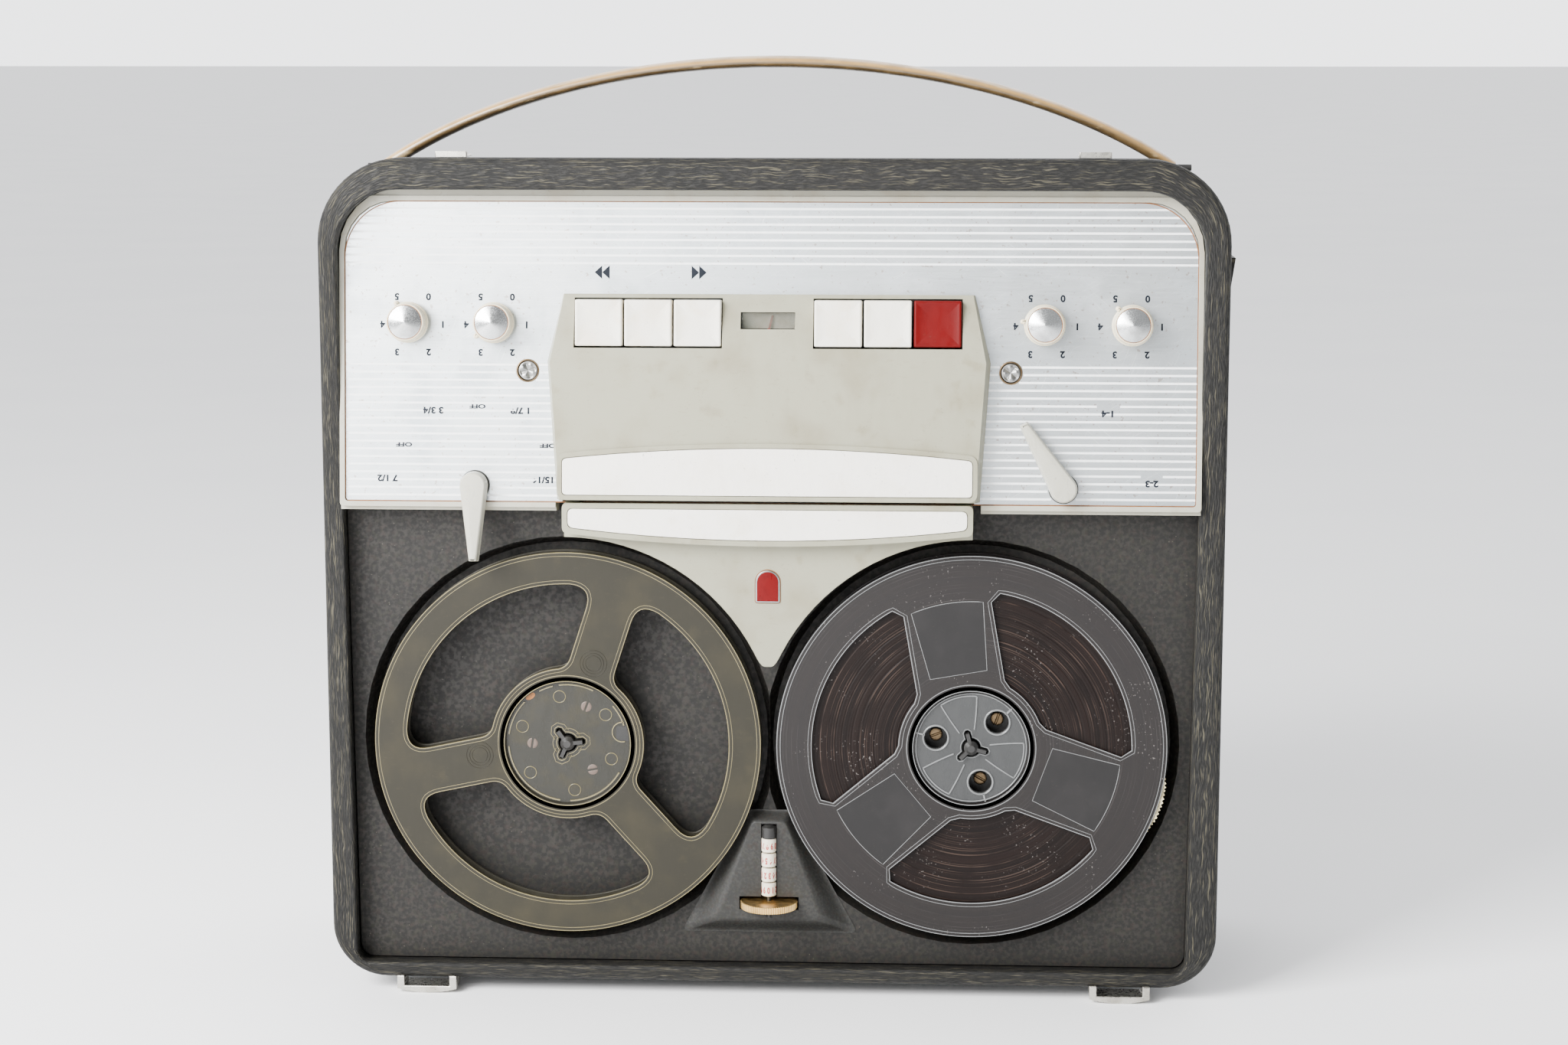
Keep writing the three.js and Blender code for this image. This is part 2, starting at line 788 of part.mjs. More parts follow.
function make_handle(parent) {
  const stations = 30;
  const section_shares = [[1, 0], [0.75, 0.85], [0, 1], [-0.75, 0.85],
    [-1, 0], [-0.75, -0.85], [0, -1], [0.75, -0.85]];
  const rings = [];
  for (let i = 0; i <= stations; i += 1) {
    const x = handle_reach * Math.sin((Math.PI / 2) * ((2 * i) / stations - 1));
    const slope = handle_slope(x);
    const scale = 1 / Math.hypot(1, slope);
    const share = Math.abs(x) / handle_reach;
    const half = THREE.MathUtils.lerp(handle_width, handle_end_width, share ** 3) / 2;
    const top = handle_apex - handle_drop(x);
    const middle = new THREE.Vector3(x + (slope * scale * handle_thickness) / 2, handle_depth,
      top - (scale * handle_thickness) / 2);
    rings.push(section_shares.map(([across, up]) => new THREE.Vector3(
      middle.x - slope * scale * up * (handle_thickness / 2),
      middle.y + across * half,
      middle.z + scale * up * (handle_thickness / 2),
    )));
  }
  const eyes = [];
  const bores = [];
  for (const side of [-1, 1]) {
    const x = side * (handle_reach - handle_eye_length / 2);
    const eye = new THREE.CylinderGeometry(handle_eye, handle_eye, handle_eye_length, 16);
    eyes.push(eye.rotateZ(Math.PI / 2).translate(x, handle_depth, handle_axis_z));
    const bore_radius = handle_pin + running_fit;
    const bore = new THREE.CylinderGeometry(bore_radius, bore_radius, handle_eye_length + 4 * overrun, 12);
    bores.push(bore.rotateZ(Math.PI / 2).translate(x, handle_depth, handle_axis_z));
  }
  add(parent, 'carry_handle', cut(join(skin(rings, true), ...eyes), ...bores), strap_tan);
}

function make_flap(parent) {
  const hinge = new THREE.Group();
  hinge.position.set(flap_axis_x, 0, flap_low);
  hinge.rotation.y = flap_ajar_deg * degree;
  const leaf = block(-flap_knuckle, flap_thickness - flap_knuckle, flap_front, flap_back, 0, flap_height);
  const knuckle = disc(flap_knuckle, flap_front, flap_back, 0, 0, 16);
  add(hinge, 'side_flap', join(leaf, knuckle), dark_plastic);
  parent.add(hinge);
}

function spindle_x(side) {
  return mechanism_shift + side * spindle_half;
}

function make_deck(parent) {
  const deck_back = deck_front + deck_thickness;
  const filled = plate(new THREE.Shape(pocket(deck_gap)), deck_front, deck_back);
  const floor = common(filled, block(-case_half, case_half, deck_front - overrun, deck_back + overrun,
    case_low, deck_top));
  const cutters = [];
  for (const side of [-1, 1]) {
    cutters.push(turned([
      [0, deck_front - overrun],
      [dish_radius, deck_front - overrun],
      [dish_radius, deck_front],
      [dish_radius - dish_slope, deck_front + dish_depth],
      [0, deck_front + dish_depth],
    ], spindle_x(side), spindle_z, 48));
    cutters.push(disc(table_shaft + running_fit, deck_front, deck_back + overrun, spindle_x(side),
      spindle_z));
  }
  const slot_side = wheel_slot_half + fit;
  cutters.push(block(mechanism_shift - slot_side, mechanism_shift + slot_side,
    deck_front - overrun, deck_back + overrun, wheel_slot_low, wheel_slot_high));
  const notch_half = head_plate_half + 2 * fit;
  cutters.push(block(mechanism_shift - notch_half, mechanism_shift + notch_half,
    deck_front - overrun, deck_back + overrun, deck_notch_low, deck_top + overrun));
  add(parent, 'deck_plate', cut(floor, ...cutters), speckled_paint);
}

function counter_outline(half_low, half_high, low, high, y) {
  const round = fit * 4;
  const points = outline({ half_low, half_high, low, high, round_low: round, round_high: round, steps: 2 });
  return at(points, y).map((p) => p.setX(p.x + mechanism_shift));
}

function make_counter(parent) {
  const foot = deck_front - fit;
  const hump = skin([
    counter_outline(counter_base_half_low, counter_base_half_high, counter_base_low, counter_base_high, foot),
    counter_outline(counter_face_half_low, counter_face_half_high, counter_face_low, counter_face_high,
      counter_axis_y),
  ], true);
  const x = mechanism_shift;
  const drum_space = drum_radius + fit;
  const channel = standing([[0, wheel_slot_low], [drum_space, wheel_slot_low],
    [drum_space, counter_face_high - fit], [0, counter_face_high - fit]], x, counter_axis_y, 24);
  const slot = block(x - wheel_slot_half, x + wheel_slot_half, counter_axis_y - overrun,
    foot + overrun, wheel_slot_low, wheel_slot_high);
  const bearing_radius = axle_radius + running_fit / 2;
  const bearing = standing([[0, counter_base_low], [bearing_radius, counter_base_low],
    [bearing_radius, wheel_slot_low + overrun], [0, wheel_slot_low + overrun]], x, counter_axis_y, 12);
  add(parent, 'counter_housing', cut(hump, channel, slot, bearing), housing_paint);

  const drums_top = drum_low + drum_count * drum_pitch;
  const axle = standing([
    [0, counter_face_low + fit],
    [axle_radius, counter_face_low + fit],
    [axle_radius, drums_top - (drum_pitch - drum_height) / 2],
    [drum_radius, drums_top - (drum_pitch - drum_height) / 2],
    [drum_radius, counter_face_high - drum_radius / 2],
    [drum_radius / 2, counter_face_high - 2 * fit],
    [0, counter_face_high - 2 * fit],
  ], x, counter_axis_y, 20);
  add(parent, 'counter_axle', axle, steel);
  for (let i = 0; i < drum_count; i += 1) {
    const low = drum_low + i * drum_pitch;
    const drum = standing([[drum_bore, low], [drum_radius, low], [drum_radius, low + drum_height],
      [drum_bore, low + drum_height], [drum_bore, low]], x, counter_axis_y, 20);
    add(parent, `counter_drum_${i + 1}`, drum, drum_white);
  }
  const wheel = standing([[drum_bore, wheel_low], [wheel_radius, wheel_low],
    [wheel_radius, wheel_low + wheel_thickness], [drum_bore, wheel_low + wheel_thickness],
    [drum_bore, wheel_low]], x, counter_axis_y, 28);
  add(parent, 'reset_wheel', wheel, brass);
}

// Fan-shaped window between two spokes, with its corners rounded off
function window_hole(middle, inner, outer, spoke_half, corner) {
  const third = Math.PI / 3;
  const sides = [-1, 1].map((side) => {
    const spoke = middle + side * third;
    const along = new THREE.Vector2(Math.cos(spoke), Math.sin(spoke));
    const off = new THREE.Vector2(Math.sin(spoke), -Math.cos(spoke)).multiplyScalar(side * spoke_half);
    const meet = (radius) => along.clone().multiplyScalar(Math.sqrt(radius ** 2 - spoke_half ** 2)).add(off);
    return { meet, along };
  });
  const [first, last] = sides;
  const path = new THREE.Path();
  const swing = (radius, side) => {
    const edge = side.meet(radius);
    const turn = (corner / radius) * (side === first ? 1 : -1);
    return Math.atan2(edge.y, edge.x) + turn;
  };
  const point = (radius, angle) => new THREE.Vector2(radius * Math.cos(angle), radius * Math.sin(angle));
  const wrap = (angle) => middle + Math.atan2(Math.sin(angle - middle), Math.cos(angle - middle));
  const outer_start = wrap(swing(outer, first));
  const outer_end = wrap(swing(outer, last));
  const steps = 9;
  const inner_corner = corner / 2;
  const start = point(outer, outer_start);
  path.moveTo(start.x, start.y);
  for (let i = 1; i <= steps; i += 1) {
    const p = point(outer, THREE.MathUtils.lerp(outer_start, outer_end, i / steps));
    path.lineTo(p.x, p.y);
  }
  const bend = (side, radius, to) => {
    const from = path.currentPoint.clone();
    const round = new THREE.QuadraticBezierCurve(from, side.meet(radius), to);
    for (const p of round.getPoints(3).slice(1)) path.lineTo(p.x, p.y);
  };
  const slide = (side, radius, distance) =>
    side.meet(radius).add(side.along.clone().multiplyScalar(distance));
  bend(last, outer, slide(last, outer, -corner));
  const last_low = slide(last, inner, inner_corner);
  path.lineTo(last_low.x, last_low.y);
  const inner_edge = (side, sign) => {
    const edge = side.meet(inner);
    return wrap(Math.atan2(edge.y, edge.x) + (sign * inner_corner) / inner);
  };
  const inner_start = inner_edge(last, -1);
  const inner_end = inner_edge(first, 1);
  bend(last, inner, point(inner, inner_start));
  const inner_steps = 4;
  for (let i = 1; i <= inner_steps; i += 1) {
    const p = point(inner, THREE.MathUtils.lerp(inner_start, inner_end, i / inner_steps));
    path.lineTo(p.x, p.y);
  }
  bend(first, inner, slide(first, inner, inner_corner));
  const first_high = slide(first, outer, -corner);
  path.lineTo(first_high.x, first_high.y);
  bend(first, outer, start);
  return path;
}

// Spindle hole with three driving slots
function keyed_hole(start_deg) {
  const path = new THREE.Path();
  const half = spindle_slot_width / 2;
  const root = Math.sqrt(spindle_hole ** 2 - half ** 2);
  for (let i = 0; i < 3; i += 1) {
    const angle = (start_deg + 120 * i) * degree;
    const along = new THREE.Vector2(Math.cos(angle), Math.sin(angle));
    const across = new THREE.Vector2(-along.y, along.x);
    const corner = (out, side) => along.clone().multiplyScalar(out).add(across.clone().multiplyScalar(side));
    const points = [corner(root, -half), corner(spindle_slot_reach, -half),
      corner(spindle_slot_reach, half), corner(root, half)];
    points.forEach((p, j) => {
      if (i === 0 && j === 0) path.moveTo(p.x, p.y);
      else path.lineTo(p.x, p.y);
    });
    for (const turn of [40, 60, 80]) {
      const a = angle + turn * degree;
      path.lineTo(spindle_hole * Math.cos(a), spindle_hole * Math.sin(a));
    }
  }
  return path;
}

function make_reel(spec) {
  const flange = () => {
    const shape = new THREE.Shape();
    shape.absarc(0, 0, reel_radius, 0, 2 * Math.PI, false);
    const mouth = new THREE.Path();
    mouth.absarc(0, 0, spec.hub - hub_wall, 0, 2 * Math.PI, true);
    shape.holes.push(mouth);
    for (let i = 0; i < 3; i += 1) {
      const middle = (spec.spoke_deg + 60 + 120 * i) * degree;
      shape.holes.push(
        window_hole(middle, spec.window_inner, spec.window_outer, spec.spoke_half, spec.corner),
      );
    }
    return shape;
  };
  const web = new THREE.Shape();
  web.absarc(0, 0, spec.hub - hub_wall / 2, 0, 2 * Math.PI, false);
  web.holes.push(keyed_hole(spec.slot_deg));
  if (spec.round_holes) {
    for (let i = 0; i < 3; i += 1) {
      const angle = (hub_hole_deg + 120 * i) * degree;
      const hole = new THREE.Path();
      hole.absarc(hub_hole_ring * Math.cos(angle), hub_hole_ring * Math.sin(angle), hub_hole_radius,
        0, 2 * Math.PI, true);
      web.holes.push(hole);
    }
  }
  const web_front = reel_front + hub_web_set;
  const back_flange = reel_front + flange_thickness + winding_gap;
  const reel = join(
    plate(flange(), reel_front, reel_front + flange_thickness, 28),
    plate(flange(), back_flange, back_flange + flange_thickness, 28),
    ring(spec.hub - hub_wall, spec.hub, reel_front, back_flange + flange_thickness, 0, 0, 56),
    plate(web, web_front, web_front + hub_web, 8),
  );
  return reel.translate(spindle_x(spec.side), 0, spindle_z);
}

// The outermost turn of tape, a flat band that winds out from the pack to its loose end
function outer_turn(x, z, front) {
  const per_turn = 48;
  const pitch = turn_thickness + turn_gap;
  const steps = Math.round(per_turn * turn_count);
  const rings = [];
  const middles = [];
  for (let i = 0; i <= steps; i += 1) {
    const turn = i / per_turn;
    const inner = pack_radius + turn_gap + pitch * turn;
    const angle = turn_start_deg * degree + 2 * Math.PI * turn;
    const corner = (r, y) => new THREE.Vector3(x + r * Math.cos(angle), y, z + r * Math.sin(angle));
    rings.push([corner(inner, front), corner(inner + turn_thickness, front),
      corner(inner + turn_thickness, front + tape_width), corner(inner, front + tape_width)]);
    middles.push(corner(inner + turn_thickness / 2, front));
  }
  let least = Infinity;
  for (let i = 0; i < middles.length; i += 1) {
    for (let j = i + per_turn / 2; j < middles.length; j += 1) {
      least = Math.min(least, middles[i].distanceTo(middles[j]) - turn_thickness);
    }
  }
  console.log(`least gap of the outer turn of tape to itself: ${least.toFixed(2)} mm`);
  return skin(rings, true);
}

function make_turntable(parent, side) {
  const top = reel_front + 2 * flange_thickness + winding_gap + fit;
  const table = turned([
    [0, spindle_tip],
    [spindle_radius / 2, spindle_tip],
    [spindle_radius, spindle_tip + spindle_radius / 2],
    [spindle_radius, top],
    [table_radius, top],
    [table_radius, top + table_thickness],
    [table_boss, top + table_thickness],
    [table_boss, deck_front + dish_depth - fit],
    [table_shaft, deck_front + dish_depth - fit],
    [table_shaft, table_shaft_end],
    [0, table_shaft_end],
  ], 0, 0, 24);
  const slot_deg = side < 0 ? left_slot_deg : right_slot_deg;
  const wings = [0, 1, 2].map((i) => {
    const wing = block(0, spindle_wing_reach, reel_front + hub_web_set - hub_web, top + fit,
      -spindle_wing / 2, spindle_wing / 2);
    return wing.rotateY(-(slot_deg + 120 * i) * degree);
  });
  const whole = join(table, ...wings).translate(spindle_x(side), 0, spindle_z);
  add(parent, side < 0 ? 'left_turntable' : 'right_turntable', whole, steel);
}

function make_reels(parent) {
  const left = make_reel({
    side: -1, hub: left_hub_radius, spoke_deg: left_spoke_deg, slot_deg: left_slot_deg,
    window_inner: left_window_inner, window_outer: left_window_outer, spoke_half: left_spoke_half,
    corner: left_window_corner, round_holes: false,
  });
  add(parent, 'left_reel', left, frosted);
  const right = make_reel({
    side: 1, hub: right_hub_radius, spoke_deg: right_spoke_deg, slot_deg: right_slot_deg,
    window_inner: right_window_inner, window_outer: right_window_outer, spoke_half: right_spoke_half,
    corner: right_window_corner, round_holes: true,
  });
  add(parent, 'right_reel', right, crystal);
  const tape_front = reel_front + flange_thickness + tape_flange_gap;
  add(parent, 'tape_pack', ring(right_hub_radius + fit, pack_radius, tape_front, tape_front + tape_width,
    spindle_x(1), spindle_z, 48), tape_brown);
  add(parent, 'tape_outer_turn', outer_turn(spindle_x(1), spindle_z, tape_front), tape_brown);
  make_turntable(parent, -1);
  make_turntable(parent, 1);
}

// Half the cover's width at its foot, and the height of its face, at a height up the panel
function cover_half(z) {
  if (z >= cover_ridge_z) {
    const share = (z - cover_ridge_z) / (cover_top_z - cover_ridge_z);
    return THREE.MathUtils.lerp(cover_ridge_half, cover_top_half, share);
  }
  return THREE.MathUtils.lerp(cover_low_half, cover_ridge_half,
    (z - cover_low_z) / (cover_ridge_z - cover_low_z));
}

function cover_face(z) {
  if (z <= cover_ridge_z) return cover_height;
  return THREE.MathUtils.lerp(cover_height, cover_top_height,
    (z - cover_ridge_z) / (cover_top_z - cover_ridge_z));
}

function cover_solid(foot, wall) {
  const stations = [cover_low_z + wall, cover_ridge_z, cover_top_z - wall];
  return skin(stations.map((z) => {
    const half = cover_half(z) - wall;
    const high = cover_face(z) - wall;
    const top_half = half - cover_draft * (cover_face(z) / cover_height);
    return [[-half, foot], [half, foot], [top_half, -high], [-top_half, -high]]
      .map(([x, y]) => new THREE.Vector3(x, y, z));
  }), true);
}

// Panel insert: straight foot and sides, and one long arched edge
function arched(half, flat, side, bulge, corner) {
  const away = Math.sign(side - flat);
  const shape = new THREE.Shape();
  shape.moveTo(-half + corner, flat);
  shape.lineTo(half - corner, flat);
  shape.quadraticCurveTo(half, flat, half, flat + away * corner);
  shape.lineTo(half, side - away * corner);
  const lift = side + (away * bulge * corner * 2) / half;
  shape.quadraticCurveTo(half, side, half - corner, lift);
  const span = half - corner;
  const arc_steps = 16;
  for (let i = 1; i <= arc_steps; i += 1) {
    const x = span * (1 - (2 * i) / arc_steps);
    shape.lineTo(x, lift + (side + away * bulge - lift) * (1 - (x / span) ** 2));
  }
  shape.quadraticCurveTo(-half, side, -half, side - away * corner);
  shape.lineTo(-half, flat + away * corner);
  shape.quadraticCurveTo(-half, flat, -half + corner, flat);
  return shape;
}

function make_head_cover(panel) {
  const face = -cover_height;
  const bead = plate(arched(insert_half + insert_bead, insert_low - insert_bead, insert_side + insert_bead,
    insert_sagitta, insert_corner + insert_bead), face - insert_bead_height, face + cover_wall / 2);
  const recess = plate(arched(insert_half, insert_low, insert_side, insert_sagitta, insert_corner),
    face - overrun, face + insert_thickness + fit - insert_bead_height);
  const bays = [-1, 1].map((side) => block(Math.min(side * bay_inner, side * bay_outer),
    Math.max(side * bay_inner, side * bay_outer), face - overrun, overrun, bay_low, bay_high));
  const meter_hole = block(-meter_half, meter_half, face - overrun, overrun, meter_low, meter_high);
  const slot = block(-head_plate_half - fit, head_plate_half + fit, face + slot_wall_drop, overrun,
    cover_low_z - overrun, cover_low_z + 2 * cover_wall);
  const shell = cut(cover_solid(-fit, 0), cover_solid(overrun, cover_wall));
  const cover = cut(join(shell, bead), recess, ...bays, meter_hole, slot);
  add(panel, 'head_cover', cover, stone_plastic);
  const insert_back = face + insert_thickness - insert_bead_height;
  add(panel, 'head_insert_plate', plate(arched(insert_half - fit, insert_low + fit, insert_side - fit,
    insert_sagitta, insert_corner), insert_back - insert_thickness, insert_back), white_enamel);
}

function make_keys(panel) {
  const pitch = (bay_outer - bay_inner) / 3;
  for (let i = 0; i < 6; i += 1) {
    const left = i < 3 ? -bay_outer + i * pitch : bay_inner + (i - 3) * pitch;
    const x = left + pitch / 2;
    const z = (bay_low + bay_high) / 2;
    const half_x = (pitch - key_gap) / 2;
    const half_z = (bay_high - bay_low) / 2 - key_gap;
    const level = (share, height) => {
      const inset = key_draft * share;
      return at(even(half_x - inset, z - half_z + inset, z + half_z - inset, key_edge, key_edge, 2), -height)
        .map((p) => p.setX(p.x + x));
    };
    const rim = level(1, key_top_height);
    const crown = level(1 + key_edge / key_draft, key_top_height + key_draft / 2);
    const dished = level(1 + (3 * key_edge) / key_draft, key_top_height + key_draft / 2 - key_dish);
    const cap = skin([level(0, key_base_height), rim, crown, dished], true);
    const stem = block(x - stem_half, x + stem_half, -key_base_height - fit, stem_depth,
      z - half_z / 2, z + half_z / 2);
    add(panel, `key_${i + 1}`, join(cap, stem), i === 5 ? record_red : ivory);
  }
}

function make_meter(panel) {
  const floor = meter_cavity - meter_body_height;
  const body = block(-meter_body_half, meter_body_half, -meter_body_height,
    meter_body_depth - meter_body_height, meter_body_low, meter_body_high);
  const cavity = block(-meter_half, meter_half, -meter_body_height - overrun, floor,
    meter_body_low + cover_wall / 2, meter_high);
  add(panel, 'meter_body', cut(body, cavity), steel);
  const glass_front = -cover_face(meter_high) + meter_glass_set - meter_glass;
  add(panel, 'meter_window', block(-meter_half + fit, meter_half - fit,
    glass_front, glass_front + meter_glass, meter_low + fit, meter_high - fit), crystal);
  const pivot = new THREE.Group();
  pivot.position.set(0, 0, pointer_axis_z);
  pivot.rotation.y = -pointer_rest_deg * degree;
  const needle = block(-pointer_width / 2, pointer_width / 2, floor - pointer_lift - pointer_thickness,
    floor - pointer_lift, 0, pointer_length);
  const hub = disc(pointer_hub, floor - pointer_lift - pointer_thickness, floor - fit, 0, 0, 12);
  add(pivot, 'meter_pointer', join(needle, hub), needle_red);
  panel.add(pivot);
}

function make_knobs(panel) {
  const places = [
    ['knob_left_outer', -knob_outer, left_outer_nub_deg],
    ['knob_left_inner', -knob_inner, left_inner_nub_deg],
    ['knob_right_inner', knob_inner, right_inner_nub_deg],
    ['knob_right_outer', knob_outer, right_outer_nub_deg],
  ];
  for (const [name, x, nub_deg] of places) {
    const body = turned([
      [0, -knob_height],
      [knob_cap, -knob_ring_height - fit],
      [knob_ring, -knob_ring_height],
      [knob_base - fit, -knob_flange],
      [knob_base, -knob_flange + fit],
      [knob_base, -knob_standoff],
      [knob_shaft, -knob_standoff],
      [knob_shaft, shaft_depth],
      [0, shaft_depth],
    ], 0, 0, 20);
    const nub = disc(nub_radius, -nub_height, -knob_standoff, nub_reach - nub_radius, 0, 8);
    const neck = block(knob_ring, nub_reach - nub_radius, -nub_height, -knob_standoff,
      -nub_radius, nub_radius);
    const pointer = join(nub, neck).rotateY(-nub_deg * degree);
    add(panel, name, join(body, pointer).translate(x, 0, knob_z), cream);
  }
}

function lever_outline(inset) {
  const head = lever_head - inset;
  const tip = lever_tip_half - inset;
  const reach = lever_length - inset;
  const lean = Math.asin((head - tip) / reach);
  const points = [];
  const head_steps = 12;
  for (let i = 0; i <= head_steps; i += 1) {
    const angle = -lean + ((Math.PI + 2 * lean) * i) / head_steps;
    points.push(new THREE.Vector2(head * Math.cos(angle), head * Math.sin(angle)));
  }
  points.push(new THREE.Vector2(-tip, -reach));
  points.push(new THREE.Vector2(tip, -reach));
  return points;
}

function make_levers(panel) {
  const places = [
    ['speed_lever', -1, 0],
    ['track_lever', 1, 180 + track_lever_lean_deg],
  ];
  for (const [name, side, lean_deg] of places) {
    const blade = skin([
      at(lever_outline(0), -lever_low),
      at(lever_outline(lever_draft / 2), -lever_high + lever_draft),
      at(lever_outline(2 * lever_draft), -lever_high),
    ], true);
    const hub = turned([[0, -lever_low - fit], [lever_hub, -lever_low - fit], [lever_hub, -fit],
      [knob_shaft, -fit], [knob_shaft, shaft_depth], [0, shaft_depth]], 0, 0, 24);
    const lever = join(blade, hub).rotateY(-lean_deg * degree);
    add(panel, name, lever.translate(side * lever_x, 0, lever_z), cream);
  }
}

function make_panel(parent) {
  const panel = new THREE.Group();
  panel.position.set(mechanism_shift, panel_foot_y, panel_foot_z);
  panel.rotation.x = -panel_tilt_deg * degree;
  parent.add(panel);

  const window_half = bezel_half - bead_width;
  const window_low = bezel_low + bead_width;
  const window_high = bezel_high - bezel_brow - bead_width;
  const outer = () => even(bezel_half, bezel_low, bezel_high, bezel_foot_corner, bezel_corner);
  const inside = (gap) => even(window_half - gap, window_low + gap, window_high - gap,
    bezel_foot_corner, bezel_corner - bezel_brow - bead_width);
  const round_hole = (x, z, radius) => {
    const path = new THREE.Path();
    path.absarc(x, z, radius, 0, 2 * Math.PI, true);
    return path;
  };
  const pierce = (shape, screw_hole) => {
    const opening = even(cutout_half, cutout_low, cutout_high, bezel_foot_corner, bezel_foot_corner, 2);
    shape.holes.push(new THREE.Path(opening));
    for (const side of [-1, 1]) {
      shape.holes.push(round_hole(side * knob_inner, knob_z, knob_shaft_hole));
      shape.holes.push(round_hole(side * knob_outer, knob_z, knob_shaft_hole));
      shape.holes.push(round_hole(side * lever_x, lever_z, knob_shaft_hole));
      shape.holes.push(round_hole(side * screw_x, screw_z, screw_hole));
    }
    return shape;
  };
  const frame = new THREE.Shape(outer());
  frame.holes.push(new THREE.Path(inside(0)));
  const floor_front = plate_thickness + fit;
  const tray = join(
    plate(frame, -bead_height, bezel_depth),
    plate(pierce(new THREE.Shape(inside(-bead_width / 2)), screw_shank + fit), floor_front,
      floor_front + bezel_floor),
    block(-bezel_half, bezel_half, skirt_set, bezel_depth, bezel_low - skirt_height, window_low),
  );
  const brow_outline = even(bezel_half + overrun, window_high + bead_width, bezel_high + overrun, 0, 0, 1);
  const brow = plate(new THREE.Shape(brow_outline), -bead_height - overrun, -bead_height / 2);
  const gate = block(-cover_low_half - 2 * fit, cover_low_half + 2 * fit, -bead_height - overrun,
    bezel_depth + overrun, bezel_low - skirt_height - overrun, cutout_low + overrun);
  add(panel, 'control_bezel', cut(tray, brow, gate), cream);
  const plate_body = plate(pierce(new THREE.Shape(inside(fit)), screw_recess), 0, plate_thickness);
  const gate_half = band_half + 2 * fit;
  const plate_gate = block(-gate_half, gate_half, -overrun, plate_thickness + overrun, window_low - overrun,
    cutout_low + overrun);
  add(panel, 'control_plate', cut(plate_body, plate_gate), brushed);

  for (const side of [-1, 1]) {
    const head_back = floor_front - fit;
    const screw = turned([
      [0, head_back - screw_head_thickness],
      [screw_head - fit, head_back - screw_head_thickness],
      [screw_head, head_back - screw_head_thickness + fit],
      [screw_head, head_back],
      [screw_shank, head_back],
      [screw_shank, screw_length],
      [0, screw_length],
    ], side * screw_x, screw_z, 14);
    add(panel, side < 0 ? 'panel_screw_left' : 'panel_screw_right', screw, nickel);
  }
  make_head_cover(panel);
  make_keys(panel);
  make_meter(panel);
  make_knobs(panel);
  make_levers(panel);
}

// Tongue outline: straight down from the band's ends, then arcs concentric with the reels that
// meet in a rounded tip
function tongue_shape(inset, high) {
  const radius = tongue_arc + inset;
  const side = band_half - inset;
  const low = tongue_tip_z + inset;
  const start = Math.acos((spindle_half - side) / radius);
  const end = Math.asin((low + tongue_tip_round - spindle_z) / radius);
  const steps = 16;
  const right = [new THREE.Vector2(side, high)];
  for (let i = 0; i <= steps; i += 1) {
    const angle = THREE.MathUtils.lerp(start, end, i / steps);
    right.push(new THREE.Vector2(spindle_half - radius * Math.cos(angle),
      spindle_z + radius * Math.sin(angle)));
  }
  const last = right[right.length - 1];
  const chin = last.x / 4;
  const bend = spindle_half - Math.sqrt(radius ** 2 - (low - spindle_z) ** 2);
  const shape = new THREE.Shape();
  shape.moveTo(right[0].x, right[0].y);
  right.slice(1).forEach((p) => shape.lineTo(p.x, p.y));
  shape.quadraticCurveTo(bend, low, chin, low);
  shape.lineTo(-chin, low);
  shape.quadraticCurveTo(-bend, low, -last.x, last.y);
  right.slice(0, -1).reverse().forEach((p) => shape.lineTo(-p.x, p.y));
  return shape;
}

function make_tongue(parent) {
  const foot = deck_front - fit;
  const band_back = band_front + 2 * insert_bead_height;
  const band = plate(arched(band_half, tongue_top, band_side, band_sagitta, band_corner),
    band_front, foot);
  const inset = insert_bead + fit;
  const recess = plate(arched(band_half - inset, tongue_top - inset, band_side + inset, band_sagitta,
    band_corner), band_front - overrun, band_front + insert_thickness + fit);
  const tongue = plate(tongue_shape(0, tongue_top - tongue_wall), tongue_front, foot);
  const hollow_band = plate(arched(band_half - tongue_wall, tongue_top - tongue_wall,
    band_side + tongue_wall, band_sagitta, band_corner), band_back + tongue_wall, foot + overrun);
  const hollow_tongue = plate(tongue_shape(tongue_wall, tongue_top - 2 * tongue_wall),
    tongue_front + tongue_wall, foot + overrun);
  const slot = block(-head_plate_half - fit, head_plate_half + fit, band_front + slot_wall_drop,
    foot + overrun, tongue_top - 2 * tongue_wall, tongue_top + overrun);
  const cover = cut(join(band, tongue), recess, hollow_band, hollow_tongue, slot);
  cover.translate(mechanism_shift, 0, 0);
  add(parent, 'tongue_cover', cover, stone_plastic);
  const strip = plate(arched(band_half - inset - fit, tongue_top - inset - fit,
    band_side + inset + fit, band_sagitta, band_corner), band_front, band_front + insert_thickness);
  add(parent, 'tongue_insert_plate', strip.translate(mechanism_shift, 0, 0), white_enamel);
}

// Outline of a belt round two pulleys, grown outward by the given amount
function belt_path(first, first_radius, second, second_radius, grow) {
  const line = new THREE.Vector2().subVectors(second, first);
  const heading = Math.atan2(line.y, line.x);
  const r1 = first_radius + grow;
  const r2 = second_radius + grow;
  const spread = Math.acos((r1 - r2) / line.length());
  const points = [];
  const arc = (centre, radius, from, to) => {
    const steps = Math.ceil((Math.abs(to - from) * belt_facets) / Math.PI);
    for (let i = 0; i <= steps; i += 1) {
      const angle = THREE.MathUtils.lerp(from, to, i / steps);
      const spoke = new THREE.Vector2(Math.cos(angle), Math.sin(angle)).multiplyScalar(radius);
      points.push(spoke.add(centre));
    }
  };
  arc(first, r1, heading + spread, heading + 2 * Math.PI - spread);
  arc(second, r2, heading - spread, heading + spread);
  return points;
}

